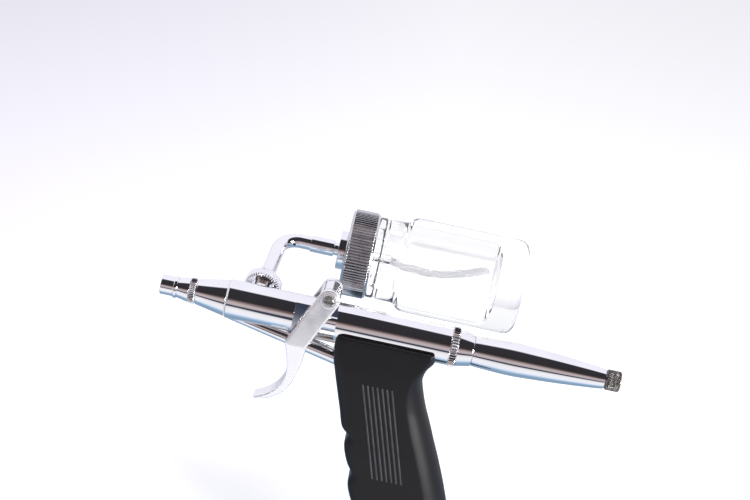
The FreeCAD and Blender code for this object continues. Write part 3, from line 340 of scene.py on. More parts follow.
def tooth_tree():
    """Cuts teeth, ridges or a thread into a piece turned about X, as deep as its 'tooth' value says."""
    tree, inlet = new_tree("cut_teeth", "Teeth", "Depth", "Slant", "Crossed")
    place = tree.nodes.new("GeometryNodeInputPosition")
    parts = tree.nodes.new("ShaderNodeSeparateXYZ")
    tree.links.new(place.outputs["Position"], parts.inputs[0])
    x, y, z = parts.outputs
    turn = maths(tree, "MULTIPLY", maths(tree, "ARCTAN2", z, y), inlet.outputs["Teeth"])
    lean = maths(tree, "MULTIPLY", x, inlet.outputs["Slant"])

    def groove(phase):
        return maths(tree, "MULTIPLY_ADD", maths(tree, "COSINE", phase), -0.5, 0.5)

    right = groove(maths(tree, "ADD", turn, lean))
    left = maths(tree, "MULTIPLY", groove(maths(tree, "SUBTRACT", turn, lean)), inlet.outputs["Crossed"])
    weight = tree.nodes.new("GeometryNodeInputNamedAttribute")
    weight.data_type = "FLOAT"
    weight.inputs["Name"].default_value = "tooth"
    cut = maths(tree, "MULTIPLY", maths(tree, "MAXIMUM", right, left), weight.outputs["Attribute"])
    depth = maths(tree, "MULTIPLY", cut, inlet.outputs["Depth"])
    square = maths(tree, "ADD", maths(tree, "MULTIPLY", y, y), maths(tree, "MULTIPLY", z, z))
    share = maths(tree, "DIVIDE", depth, maths(tree, "MAXIMUM", maths(tree, "SQRT", square), 1e-6))
    shift = tree.nodes.new("ShaderNodeCombineXYZ")
    for side in (y, z):
        inward = maths(tree, "MULTIPLY", maths(tree, "MULTIPLY", side, share), -1)
        tree.links.new(inward, shift.inputs[side.name])
    move = tree.nodes.new("GeometryNodeSetPosition")
    tree.links.new(inlet.outputs["Geometry"], move.inputs["Geometry"])
    tree.links.new(shift.outputs[0], move.inputs["Offset"])
    return end_tree(tree, move.outputs["Geometry"], inlet)


def bead_tree():
    """Sweeps a round bead along each line of the piece."""
    tree, inlet = new_tree("lay_beads", "Radius", "Step")
    lines = tree.nodes.new("GeometryNodeMeshToCurve")
    even = tree.nodes.new("GeometryNodeResampleCurve")
    even.mode = "LENGTH"
    section = tree.nodes.new("GeometryNodeCurvePrimitiveCircle")
    section.inputs["Resolution"].default_value = 10
    sweep = tree.nodes.new("GeometryNodeCurveToMesh")
    sweep.inputs["Fill Caps"].default_value = True
    tree.links.new(inlet.outputs["Geometry"], lines.inputs["Mesh"])
    tree.links.new(lines.outputs["Curve"], even.inputs["Curve"])
    tree.links.new(inlet.outputs["Step"], even.inputs["Length"])
    tree.links.new(inlet.outputs["Radius"], section.inputs["Radius"])
    tree.links.new(even.outputs["Curve"], sweep.inputs["Curve"])
    tree.links.new(section.outputs["Curve"], sweep.inputs["Profile Curve"])
    return end_tree(tree, sweep.outputs["Mesh"], inlet)


def made_plain(piece):
    """Turns what the modifiers make into the piece's own mesh."""
    bpy.context.view_layer.update()
    result = bpy.data.meshes.new_from_object(piece.evaluated_get(bpy.context.evaluated_depsgraph_get()))
    piece.modifiers.clear()
    old = piece.data
    piece.data = result
    bpy.data.meshes.remove(old)
    return piece


def grown(piece, tree, **values):
    """Runs a node tree on a piece and keeps the plain mesh."""
    step = piece.modifiers.new("grow", "NODES")
    step.node_group = tree
    sockets = {item.name: item.identifier for item in tree.interface.items_tree if item.in_out == "INPUT"}
    for name, value in values.items():
        step[sockets[name]] = value
    return made_plain(piece)


CUT_TEETH = tooth_tree()
LAY_BEADS = bead_tree()


# Making and placing
def new_piece(name, mesh):
    piece = bpy.data.objects.new(name, mesh)
    bpy.context.scene.collection.objects.link(piece)
    return piece


def smooth(mesh, angle=35):
    mesh.shade_smooth()
    mesh.set_sharp_from_angle(angle=math.radians(angle))


def worn(piece, slot, body, *nodes):
    """Gives a finished piece its finish, its body and the CAD nodes that it stands for."""
    piece.data.materials.clear()
    piece.data.materials.append(FINISHES[slot])
    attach(piece, body)
    if nodes:
        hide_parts(*nodes)
    return piece


def eased(outline, radius=EDGE_ROUND):
    """Closed outline with its plain corners rounded; points that carry teeth stay."""
    points = [tuple(p) for p in outline]
    most_of_edge, least_turn = 0.45, 0.12
    result = []
    for i, point in enumerate(points):
        if len(point) > 2:
            result.append(point)
            continue
        here = Vector(point)
        before, after = Vector(points[i - 1][:2]), Vector(points[(i + 1) % len(points)][:2])
        reach = min(radius, (before - here).length * most_of_edge, (after - here).length * most_of_edge)
        start = here + (before - here).normalized() * reach
        end = here + (after - here).normalized() * reach
        if reach < 1e-4 or (start - here).angle(here - end, 0) < least_turn:
            result.append(point)
            continue
        for t in (0, 0.25, 0.5, 0.75, 1):
            result.append(tuple(start * (1 - t) ** 2 + here * (2 * t * (1 - t)) + end * t ** 2))
    return result


def turned_rows(bm, outline, steps, flats=0, across=0.0):
    """Rings about X from (x, r) or (x, r, tooth) in millimetres; one on the axis is a single point."""
    layers = bm.verts.layers.float
    tooth = layers.get("tooth") or layers.new("tooth")
    rows = []
    for x, r, *cut in outline:
        row = []
        for k in range(steps if r > ON_AXIS else 1):
            turn = 2 * math.pi * k / steps
            reach = r
            if flats:
                half = math.pi / flats
                reach = min(r, across / 2 / math.cos((turn + half) % (2 * half) - half))
            row.append(bm.verts.new((x * MM, reach * math.cos(turn) * MM, reach * math.sin(turn) * MM)))
            row[-1][tooth] = cut[0] if cut else 0
        rows.append(row)
    return rows


def ringed(bm, pairs, steps):
    """Faces from ring to ring, drawn to a point where a ring is one."""
    for one, two in pairs:
        for k in range(steps):
            quad = (one[k % len(one)], one[(k + 1) % len(one)], two[(k + 1) % len(two)], two[k % len(two)])
            loop = list(dict.fromkeys(quad))
            if len(loop) > 2:
                bm.faces.new(loop)


def built(name, bm, angle=None):
    """Piece with its faces outwards, and shaded smooth up to an angle if there is one."""
    bmesh.ops.recalc_face_normals(bm, faces=bm.faces)
    mesh = bpy.data.meshes.new(name)
    bm.to_mesh(mesh)
    bm.free()
    if angle:
        smooth(mesh, angle)
    return new_piece(name, mesh)


def turned(name, outline, steps=STEPS, flats=0, across=0.0):
    """Closed piece turned about X; flats cut it to a hexagon."""
    bm = bmesh.new()
    rows = turned_rows(bm, outline, steps, flats, across)
    open_ends = len(rows[0]) == 1 and len(rows[-1]) == 1
    ringed(bm, [*zip(rows, rows[1:]), *([] if open_ends else [(rows[-1], rows[0])])], steps)
    return built(name, bm, 35)


def turned_shell(name, outside, inside):
    """Turned vessel: its outer skin ends on the axis, and so does its inner one."""
    bm = bmesh.new()
    outer, inner = turned_rows(bm, outside, STEPS), turned_rows(bm, inside, STEPS)
    ringed(bm, [*zip(outer, outer[1:]), *zip(inner, inner[1:]), (inner[-1], outer[0])], STEPS)
    return built(name, bm, 40)


def toothed(start, end, radius, rows=2, chamfer=0.3):
    """Outline points of a toothed band, with its chamfers."""
    band = [(start + (end - start) * k / (rows - 1), radius, 1.0) for k in range(rows)]
    foot_r, foot_tooth = radius - chamfer * 1.4, 0.3
    return [(start - chamfer, foot_r, foot_tooth), *band, (end + chamfer, foot_r, foot_tooth)]


def cut_teeth(piece, slot, teeth, depth, slant=0.0, crossed=0.0, angle=50):
    grown(piece, CUT_TEETH, Teeth=float(teeth), Depth=depth * MM, Slant=slant / MM, Crossed=crossed,
          Material=FINISHES[slot])
    smooth(piece.data, angle)
    return piece


def along(piece, direction, base):
    """Turns a piece made about X onto another axis, within its mesh."""
    turn = Vector((1, 0, 0)).rotation_difference(direction).to_matrix().to_4x4()
    piece.data.transform(Matrix.Translation(base) @ turn)
    return piece


def on_jar_axis(piece):
    piece.data.transform(Matrix.Translation(jar_axis()))
    return piece


def catmull(points, per_span):
    """Smooth line through points."""
    line = []
    pts = [Vector(p) for p in points]
    pts = [pts[0] * 2 - pts[1], *pts, pts[-1] * 2 - pts[-2]]
    for a, b, c, d in zip(pts, pts[1:], pts[2:], pts[3:]):
        for k in range(per_span):
            t = k / per_span
            line.append(0.5 * (2 * b + (c - a) * t + (2 * a - 5 * b + 4 * c - d) * t * t
                               + (3 * b - a - 3 * c + d) * t ** 3))
    return [*line, pts[-2]]


def tube(name, path, radius, bore=0.0, sides=40):
    """Round tube along a path in metres, closed at its ends, with its bore if it has one."""
    bm = bmesh.new()
    heading = (path[1] - path[0]).normalized()
    side = heading.orthogonal().normalized()
    frames = []
    for i, point in enumerate(path):
        ahead = (path[min(i + 1, len(path) - 1)] - path[max(i - 1, 0)]).normalized()
        side = heading.rotation_difference(ahead) @ side
        heading = ahead
        frames.append((point, side.copy(), heading.cross(side)))

    def wall(r):
        turns = [2 * math.pi * k / sides for k in range(sides)]
        return [[bm.verts.new(p + (u * math.cos(turn) + w * math.sin(turn)) * r) for turn in turns]
                for p, u, w in frames]

    rows = wall(radius)
    loops = rows + (wall(bore)[::-1] if bore else [])
    ringed(bm, [*zip(loops, loops[1:]), *([(loops[-1], loops[0])] if bore else [])], sides)
    if not bore:
        bm.faces.new(rows[0])
        bm.faces.new(rows[-1])
    return built(name, bm, 40)


def prism(name, outline, low, high, axis="y"):
    """Solid between two planes from an outline in millimetres; axis y takes (x, z), axis x takes (y, z)."""
    bm = bmesh.new()

    def at(a, b, c):
        return (a * MM, c * MM, b * MM) if axis == "y" else (c * MM, a * MM, b * MM)

    floor = [bm.verts.new(at(*p, low)) for p in outline]
    roof = [bm.verts.new(at(*p, high)) for p in outline]
    bm.faces.new(floor)
    bm.faces.new(roof)
    ringed(bm, [(floor, roof)], len(outline))
    bmesh.ops.recalc_face_normals(bm, faces=bm.faces)
    bmesh.ops.triangulate(bm, faces=[f for f in bm.faces if len(f.verts) > 4])
    return built(name, bm)


def both_sides(half):
    """Level outline from its right half, written from the top down."""
    return [(-y, z) for y, z in half] + half[::-1]


def carved(piece, operation, *tools):
    """Cuts, joins or intersects a piece with others, which go."""
    for tool in tools:
        step = piece.modifiers.new(operation.lower(), "BOOLEAN")
        step.operation = operation
        step.solver = "EXACT"
        step.object = tool
        made_plain(piece)
        bpy.data.objects.remove(tool)
    return piece


def moulded(piece, voxel, passes):
    """Fuses a rough solid into one skin and softens its edges."""
    fuse = piece.modifiers.new("fuse", "REMESH")
    fuse.mode = "VOXEL"
    fuse.voxel_size = voxel * MM
    ease = piece.modifiers.new("ease", "SMOOTH")
    ease.factor = 0.5
    ease.iterations = passes
    made_plain(piece)
    piece.data.shade_smooth()
    return piece


def polished_copy(node, body, slot):
    """Own copy of a CAD node: merged, flat areas joined, edges broken and skin smoothed."""
    merge_m, edge_width = 2e-6, 0.12
    flat, sharp, corner = 0.4, 34, 40
    mesh = frame["nodes"][node].data.copy()
    bm = bmesh.new()
    bm.from_mesh(mesh)
    bmesh.ops.remove_doubles(bm, verts=bm.verts, dist=merge_m)
    bmesh.ops.dissolve_limit(bm, angle_limit=math.radians(flat), verts=bm.verts, edges=bm.edges)
    bm.to_mesh(mesh)
    bm.free()
    smooth(mesh, sharp)
    piece = new_piece(node + "_dressed", mesh)
    broken = piece.modifiers.new("edges", "BEVEL")
    broken.width = edge_width * MM
    broken.segments = 2
    broken.limit_method = "ANGLE"
    broken.angle_limit = math.radians(corner)
    broken.use_clamp_overlap = True
    broken.harden_normals = True
    return worn(made_plain(piece), slot, body, node)


# Front end
def needle_cap():
    """Open front cap with its rolled bead."""
    high = span("needle_cap")[1]
    end, bead_r = high.x, high.z
    cap_r, bore, lip = 3.75, 2.6, 0.3
    cap_end, bead, seat, seat_r = end - 1.45, end - 1.35, end - 2.5, 2.95
    outline = eased([(lip, bore), (0.0, bore + lip), (0.0, cap_r), (cap_end, cap_r), (bead, bead_r),
                     (end, bead_r), (end, seat_r), (seat, seat_r), (seat, bore)], 0.4)
    return worn(turned("cap", outline), "chrome", "gun", "needle_cap")


def air_cap():
    """Short cone in front of the knurled ring."""
    low, high = span("air_cap")
    front, start, end = low.x, span("needle_cap")[1].x, high.x
    jet_r, nose_r, root_r, lead = 0.8, 2.9, 3.8, 0.3
    thread, thread_r, throat, throat_r = end - 3.7, 3.25, end - 4.0, 2.4
    outline = eased([(front, jet_r), (front, nose_r), (start, nose_r), (start, root_r), (end, high.z),
                     (end, thread_r), (thread, thread_r), (thread, throat_r), (throat, throat_r),
                     (front + lead, jet_r)], FINE_ROUND)
    return worn(turned("air_cone", outline), "chrome", "gun", "air_cap")


def head_ring():
    """Narrow finely toothed ring."""
    low, high = span("head_ring")
    start, end, r = low.x, high.x, high.z
    bore, rim_r = 3.25, r - 0.6
    band = toothed(start + PLAIN_RIM, end - PLAIN_RIM, r, rows=4)
    outline = [(start, bore), (start, rim_r), *band, (end, rim_r), (end, bore)]
    piece = turned("knurled_ring", outline, HEAD_TEETH * STEPS_PER_TOOTH)
    return worn(cut_teeth(piece, "chrome", HEAD_TEETH, HEAD_TOOTH_DEPTH), "chrome", "gun", "head_ring")


def fluid_head():
    """Long cone with a fine groove at its front and its spigots inside."""
    low, high = span("fluid_head")
    front, end = low.x, high.x
    groove, seal = span("head_ring")[1].x, span("head_seal")[0].x
    cone = groove + 0.3
    nose_r, groove_r, cone_r, seal_r = 3.2, 4.4, 4.85, 4.9
    nozzle, nozzle_r, spigot, spigot_r, bore = front + 2.05, 1.25, end - 2.5, 1.8, 1.0
    outline = eased([(front, nozzle_r), (front, nose_r), (groove, nose_r), (groove, groove_r),
                     (cone, groove_r), (cone, cone_r), (seal, high.z), (seal, seal_r), (spigot, seal_r),
                     (spigot, spigot_r), (end, spigot_r), (end, bore), (nozzle, bore),
                     (nozzle, nozzle_r)], FINE_ROUND)
    return worn(turned("head_cone", outline), "chrome", "gun", "fluid_head")


# Rear end
def rear_ring():
    """Toothed ring at the rear of the body."""
    low, high = span("rear_ring")
    start, end, r = low.x, high.x, high.z
    bore, rim_r = 4.9, r - 0.85
    band = toothed(start + PLAIN_RIM, end - PLAIN_RIM, r)
    outline = [(start, bore), (start, rim_r), *band, (end, rim_r), (end, bore)]
    piece = turned("toothed_ring", outline, REAR_TEETH * STEPS_PER_TOOTH)
    return worn(cut_teeth(piece, "chrome", REAR_TEETH, REAR_TOOTH_DEPTH), "chrome", "gun", "rear_ring")


def handle_collar():
    """Cone that carries the tail handle, with its two tenons."""
    low, high = span("handle_collar")
    start, shoulder, end = low.x, span("rear_ring")[1].x, high.x
    bore, front_tenon, rear_tenon, cone_r, gap = 4.3, 4.85, 5.0, 6.1, 0.05
    cone_end = span("tail_handle")[0].x - gap
    outline = eased([(start, bore), (start, front_tenon), (shoulder, front_tenon), (shoulder, high.z),
                     (cone_end, cone_r), (cone_end, rear_tenon), (end, rear_tenon), (end, bore)], 0.2)
    return worn(turned("collar_cone", outline), "chrome", "gun", "handle_collar")


def tail_handle():
    """Cigar-shaped handle, smooth from end to end."""
    low, high = span("tail_handle")
    start, end = low.x, high.x
    length = end - start
    shares = ((0.0, 5.9), (0.277, 6.5), (0.49, 6.05), (0.684, 5.4), (0.897, 4.45), (1.0, 3.85))
    skin = [tuple(p.xy) for p in catmull([(start + share * length, r, 0) for share, r in shares], 9)]
    edge = 0.3
    front, rear = [(start, 5.6), (start + 0.12, 5.8)], [(end - 0.15, 3.84), (end, 3.6)]
    socket, socket_r, chamber, chamber_r, stem_r = start + 5.8, 5.05, start + 24.0, 4.3, 1.95
    middle = [p for p in skin if start + edge < p[0] < end - edge]
    outline = [(start, socket_r), *front, *middle, *rear, (end, stem_r), (chamber, stem_r),
               (chamber, chamber_r), (socket, chamber_r), (socket, socket_r)]
    return worn(turned("handle", outline, 112), "chrome", "gun", "tail_handle")


def limit_knob():
    """Gunmetal knob with a crossed knurl."""
    low, high = span("limit_knob")
    start, end, r = low.x, high.x, high.z
    hole_end, stem_r, face_r, dimple, dimple_r = end - 1.45, 1.95, 2.4, end - 0.25, 1.6
    band = toothed(start + PLAIN_RIM, end - PLAIN_RIM, r, rows=26)
    outline = [(hole_end, 0.0), (hole_end, stem_r), (start, stem_r), (start, r - 0.45), *band, (end, r - 0.5),
               (end, face_r), (dimple, dimple_r), (dimple, 0.0)]
    piece = turned("knob", outline, KNOB_TEETH * STEPS_PER_TOOTH)
    slant = KNOB_TEETH / r
    return worn(cut_teeth(piece, "dark_metal", KNOB_TEETH, KNOB_TOOTH_DEPTH, slant, 1.0, 60),
                "dark_metal", "limit_knob", "limit_knob")


def spring(node, radius, wire, turns, height):
    """Coil spring wound over the length of its CAD node."""
    low, high = span(node)
    start, end = low.x + wire, high.x - wire
    steps = turns * COIL_STEPS
    path = []
    for k in range(steps + 1):
        turn = 2 * math.pi * k / COIL_STEPS
        place = (start + (end - start) * k / steps, radius * math.sin(turn), height + radius * math.cos(turn))
        path.append(Vector(place) * MM)
    piece = worn(tube(node + "_coil", path, wire * MM, sides=10), "steel", "gun", node)
    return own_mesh(piece)


# Feed side
def union_nut():
    """Toothed nut that holds the feed tube on its boss; its places are from the barrel's axis."""
    start, lip, end, r = 9.7, 13.45, 14.6, 7.1
    boss_r, pipe_hole, rim = 4.65, 2.85, 0.5
    band = toothed(start + rim, end - rim, r, chamfer=rim)
    outline = [(start, boss_r), (start, r - 1.1), *band, (end, r - 1.3), (end, pipe_hole), (lip, pipe_hole),
               (lip, boss_r)]
    piece = turned("feed_nut", outline, UNION_TEETH * STEPS_PER_TOOTH)
    cut_teeth(piece, "chrome", UNION_TEETH, UNION_TOOTH_DEPTH)
    return worn(along(piece, FEED_DIR, FEED_BASE), "chrome", "union_nut", "union_nut")


def feed_elbow():
    """Bent tube from the union to the lid's sleeve."""
    along_x = Vector((1, 0, 0))
    corner = FEED_BASE + FEED_DIR * (jar_axis().y - FEED_BASE.y) / FEED_DIR.y
    sleeve = Vector((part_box("feed_elbow")[1].x, corner.y, corner.z))
    half = FEED_DIR.angle(along_x) / 2
    run = ELBOW_BEND * MM * math.tan(half)
    into, out = corner - FEED_DIR * run, corner + along_x * run
    centre = corner + (along_x - FEED_DIR).normalized() * (ELBOW_BEND * MM / math.cos(half))
    normal = FEED_DIR.cross(along_x).normalized()
    turns = [2 * half * k / BEND_STEPS for k in range(BEND_STEPS + 1)]
    bend = [centre + Matrix.Rotation(turn, 3, normal) @ (into - centre) for turn in turns]
    first = FEED_BASE + FEED_DIR * FERRULE_START * MM
    path = [first, (first + into) / 2, *bend, (out + sleeve) / 2, sleeve]
    return worn(tube("feed_pipe", path, PIPE_R * MM, PIPE_BORE * MM), "chrome", "feed", "feed_elbow")


def feed_ferrule():
    """Ring on the tube that the union nut pulls on."""
    outline = eased([(FERRULE_START, FERRULE_BORE), (FERRULE_START, FERRULE_R), (FERRULE_END, FERRULE_R),
                     (FERRULE_END, FERRULE_BORE)], 0.2)
    return worn(along(turned("feed_ferrule", outline, 64), FEED_DIR, FEED_BASE), "chrome", "feed")


def lid_boss():
    """Sleeve, neck and disc that carry the lid."""
    low, high = span("lid_boss")
    start, lid, end = low.x, span("jar_lid")[0].x, high.x
    socket, sleeve_end, neck_end = start + 7.55, start + 9.5, start + 11.3
    pipe_hole, sleeve_r, neck_r, disc_r, thread_r, bore = 2.85, 3.3, 2.6, 7.75, 3.5, 1.5
    outline = eased([(start, pipe_hole), (start, sleeve_r), (sleeve_end, sleeve_r), (sleeve_end, neck_r),
                     (neck_end, neck_r), (neck_end, disc_r), (lid, disc_r), (lid, thread_r), (end, thread_r),
                     (end, bore), (socket, bore), (socket, pipe_hole)], 0.3)
    return worn(on_jar_axis(turned("lid_stem", outline)), "chrome", "feed", "lid_boss")


def jar_lid():
    """Ridged cup with smooth rims."""
    low, high = span("jar_lid")
    start, end = low.x, high.x
    r = (high.z - low.z) / 2
    hole, inner, roof = 3.55, r - 1.7, start + 1.5
    closed_rim = [(start, r - 1.6), (start + 0.12, r - 1.2), (start + 0.45, r - 0.75),
                  (start + 0.8, r - 0.62)]
    ridges = [(start + 0.95, r - 0.3, 0.2), (start + 1.2, r, 1.0), (end - 1.0, r, 1.0),
              (end - 0.75, r - 0.3, 0.2)]
    open_rim = [(end - 0.62, r - 0.5), (end - 0.25, r - 0.55), (end, r - 0.8)]
    outline = [(start, hole), *closed_rim, *ridges, *open_rim, (end, inner), (roof, inner), (roof, hole)]
    piece = turned("ridged_lid", outline, LID_RIDGES * STEPS_PER_RIDGE)
    cut_teeth(piece, "lid_chrome", LID_RIDGES, LID_RIDGE_DEPTH)
    return worn(on_jar_axis(piece), "lid_chrome", "feed", "jar_lid")


def jar():
    """Thick glass jar: threaded neck, stepped collar, heavy base."""
    low, high = span("jar")
    start, end = low.x, high.x
    r = (high.z - low.z) / 2
    collar = span("jar_lid")[1].x + 0.05
    shoulder, body, hollow, inner_end = collar + 11.5, collar + 14.5, end - 1.5, end - 10.2
    neck, bore, collar_r, groove_r, lip, foot = 15.35, 12.3, 16.35, 15.9, 0.6, 4.0
    rows = 22
    thread = [(start + 1.2 + (collar - start - 1.6) * k / rows, neck, 1.0) for k in range(rows + 1)]
    quarter = [math.radians(15 * k) for k in range(1, 7)]
    outside = [(start, bore + lip), (start, neck - lip), (start + 0.5, neck), *thread, (collar, neck),
               (collar, 16.0), (collar + 0.5, collar_r), (collar + 2.6, collar_r), (collar + 3.0, groove_r),
               (collar + 4.0, groove_r), (collar + 4.4, collar_r), (shoulder - 1.2, 16.4)]
    shoulder_line = catmull([(shoulder - 1.2, 16.4, 0), (shoulder + 0.4, 16.9, 0), (shoulder + 1.6, 18.3, 0),
                             (body + 0.4, 19.0, 0), (body + 2.6, r, 0)], 5)
    outside += [tuple(p.xy) for p in shoulder_line][1:]
    outside += [(body + (end - body) * 0.5, r), (end - foot - 0.2, r)]
    outside += [(end - foot + foot * math.sin(a), r - foot + foot * math.cos(a)) for a in quarter]
    outside += [(end, r - 6.0), (end - 1.1, r - 8.2), (hollow, 5.0), (hollow, 0.0)]
    inside = [(inner_end, 0.0), (inner_end, bore - foot)]
    inside += [(inner_end - foot + foot * math.cos(a), bore - foot + foot * math.sin(a)) for a in quarter]
    inside += [(shoulder, bore), (start + lip, bore)]
    solid = turned_shell("glass_jar", outside, inside)
    cut_teeth(solid, "glass", 1, JAR_THREAD_DEPTH, 2 * math.pi / JAR_PITCH, 0.0, 40)
    return worn(on_jar_axis(solid), "glass", "jar", "jar")


def siphon_tube():
    """Clear tube that sags in the jar and rises to its base."""
    low, high = span("siphon_tube")
    start, length = low.x, high.x - low.x - 0.6
    sag = ((0.0, 0.0), (0.25, -1.6), (0.5, -1.6), (0.75, 0.95), (1.0, 4.8))
    path = catmull([(start + length * share, 0, rise) for share, rise in sag], 12)
    tube_r, bore = 1.6, 1.0
    piece = tube("draw_tube", [jar_axis() + p * MM for p in path], tube_r * MM, bore * MM, 24)
    return worn(piece, "clear_tube", "feed", "siphon_tube")


# Trigger
LEVER_FRONT = ((-13.5, -20.0), (-11.9, -25.3), (-10.9, -30.3), (-10.8, -34.6), (-12.2, -38.9), (-14.8, -42.5),
               (-18.2, -45.1), (-21.3, -46.5))
LEVER_REAR = ((-20.9, -47.3), (-18.0, -46.8), (-14.6, -45.4), (-10.9, -42.4), (-8.1, -37.9), (-6.3, -31.5),
              (-5.3, -26.5), (-4.9, -20.8))
ARM_HALF_W = 4.15
ARM_INSIDE, ARM_OUTSIDE = 4.7, 7.5
FORK_BOTTOM, FORK_ROUND = -18.0, 1.2
TAPER_TOP, TAPER_END = -21.0, -52
TIP, TIP_HALF_W = (-21.7, -46.95), 3.2
TOOL_TOP, TOOL_LEN = 40, 120
SCREW_HOLE, SEAT_R, SEAT_HEIGHT, SEAT_SINK = 2.1, 3.2, 1.0, 0.55


def trigger_outline():
    """Side view: round head at the pivot, straight arm, curved lever with a thin tip."""
    def tangent(foot, side):
        reach = Vector(foot)
        return math.atan2(reach.y, reach.x) + side * math.acos(ARM_HALF_W / reach.length)

    left, right = tangent(LEVER_FRONT[0], -1), tangent(LEVER_REAR[-1], 1)
    while left < right:
        left += 2 * math.pi
    head = [(ARM_HALF_W * math.cos(right + (left - right) * k / 40),
             ARM_HALF_W * math.sin(right + (left - right) * k / 40)) for k in range(41)]
    front, rear = ([tuple(p.xy) for p in catmull([(*p, 0) for p in edge], 8)]
                   for edge in (LEVER_FRONT, LEVER_REAR))
    return [(PIVOT.x + x, PIVOT.z + z) for x, z in [*head, *front, TIP, *rear]]


def trigger():
    """Fork and finger lever, cast in one piece and plated."""
    solid = prism("lever", trigger_outline(), -ARM_OUTSIDE, ARM_OUTSIDE)
    taper, low, floor = PIVOT.z + TAPER_TOP, PIVOT.z + TAPER_END, PIVOT.z + FORK_BOTTOM
    sides = [(ARM_OUTSIDE, TOOL_TOP), (ARM_OUTSIDE, taper), (TIP_HALF_W, low)]
    gap = [(ARM_INSIDE, TOOL_TOP), (ARM_INSIDE, floor + FORK_ROUND), (ARM_INSIDE - FORK_ROUND, floor)]
    carved(solid, "INTERSECT", prism("envelope", both_sides(sides), 0, TOOL_LEN, "x"))
    carved(solid, "DIFFERENCE", prism("fork", both_sides(gap), 0, TOOL_LEN, "x"))
    moulded(solid, 0.26, 16)
    return worn(solid, "satin_chrome", "trigger", "trigger")


def pivot_boss():
    """Raised round seat of the pivot screw on the near arm."""
    outline = eased([(0.0, SCREW_HOLE), (0.0, SEAT_R), (-SEAT_HEIGHT, SEAT_R),
                     (-SEAT_HEIGHT, SCREW_HOLE)], 0.3)
    piece = turned("pivot_seat", outline, 64)
    piece.data.transform(Matrix.Rotation(math.radians(90), 4, "Z"))
    piece.data.transform(Matrix.Translation(Vector((PIVOT.x, -ARM_OUTSIDE + SEAT_SINK, PIVOT.z)) * MM))
    return worn(piece, "satin_chrome", "trigger")


# Grip: height, front edge behind the slot's end, rear edge behind the body's end, half width, and where
# the flat side ends in front of the rounded back
GRIP_ROWS = (
    (-2.4, 0.9, -4.2, 9.1, 107.0), (-4.0, 0.9, -3.9, 9.4, 106.6), (-5.6, 0.9, -3.8, 9.5, 106.0),
    (-7.4, 0.95, -4.5, 9.6, 105.2), (-9.6, 1.1, -6.2, 9.75, 104.0), (-13.2, 1.8, -7.3, 9.95, 102.3),
    (-16.4, 2.8, -7.4, 10.0, 101.4), (-20.9, 4.2, -6.1, 10.0, 100.8), (-26.8, 6.1, -3.9, 10.0, 101.7),
    (-32.6, 8.0, -1.2, 10.05, 103.9), (-36.8, 9.2, 0.7, 10.15, 105.6), (-39.6, 10.4, 1.9, 10.2, 106.8),
    (-42.2, 13.0, 3.1, 10.2, 108.0), (-45.2, 12.4, 4.5, 10.3, 109.2), (-48.8, 13.0, 6.1, 10.4, 110.7),
    (-53.7, 15.0, 8.2, 10.5, 112.8), (-57.6, 17.4, 9.8, 10.6, 114.4), (-61.0, 16.9, 11.1, 10.7, 115.7),
    (-64.5, 17.6, 12.4, 10.8, 117.2), (-69.0, 19.6, 14.1, 10.95, 119.0), (-72.8, 21.9, 15.7, 11.1, 120.4),
    (-77.0, 21.7, 17.4, 11.25, 122.0), (-82.0, 23.4, 19.5, 11.4, 124.0), (-88.0, 26.0, 21.8, 11.55, 126.2),
    (-94.0, 28.6, 24.0, 11.65, 128.4), (-102.0, 32.0, 26.7, 11.75, 131.2),
)
GRIP_RAKE = math.radians(23.6)
GRIP_DIR = Vector((math.sin(GRIP_RAKE), 0, -math.cos(GRIP_RAKE)))
GRIP_BASE = Vector((77.6, 0, 0))
GRIP_LEN = 98.0
GRIP_FRONT_ROUND = 4.0
BACK_SHARE = 0.75
SLOT_END, BODY_END = 68.6, 113.0
RIB_COUNT, RIB_PITCH, RIB_LEN, RIB_TOP, RIB_FRONT = 7, 1.9, 39.5, -19.0, 14.6
RIB_LEAN = math.radians(16.8)
RIB_R, RIB_SINK, RIB_POINTS, RIB_STEP = 0.42, 0.12, 26, 1.2

# Room in the grip for the barrel, the riser and its seat, and the valve with its block
SADDLE_START, SADDLE_END, SADDLE_R = 40, 140, 7.56
RISER_R, SEAT_START, RISER_SEAT_R, RISER_END = 3.2, 88, 4.7, 110
VALVE_START, VALVE_END, VALVE_R = 60, 100.6, 4.5
BLOCK_START, BLOCK_END, BLOCK_BOTTOM = 75.9, 93.1, -21.1
FOOT_CUT = 60


def grip_ring(front, rear, half, crease):
    """Level outline: round back that meets the flat sides at a crease, and tight rounds in front."""
    depth = rear - crease
    centre = crease - BACK_SHARE * depth
    reach = rear - centre
    last = math.acos((crease - centre) / reach)
    widest = half / math.sin(last)
    side = [(centre + reach * math.cos(last * k / 14), widest * math.sin(last * k / 14)) for k in range(15)]
    foot = front + GRIP_FRONT_ROUND
    side += [(crease + (foot - crease) * k / 8, half) for k in range(1, 8)]
    side += [(foot - GRIP_FRONT_ROUND * math.sin(a), half - GRIP_FRONT_ROUND * (1 - math.cos(a)))
             for a in (math.pi / 2 * k / 9 for k in range(10))]
    side += [(front, (half - GRIP_FRONT_ROUND) * k / 3) for k in (2, 1, 0)]
    return side + [(x, -y) for x, y in side[-2:0:-1]]


def grip_rows():
    """Stations of the grip, made smooth and close together."""
    edges = catmull([(z, front, rear) for z, front, rear, half, crease in GRIP_ROWS], 5)
    sides = catmull([(z, half, crease) for z, front, rear, half, crease in GRIP_ROWS], 5)
    return [(a.x, SLOT_END + a.y, BODY_END + a.z, b.y, b.z) for a, b in zip(edges, sides)]


def on_grip_axis(piece):
    return along(piece, GRIP_DIR, GRIP_BASE * MM)


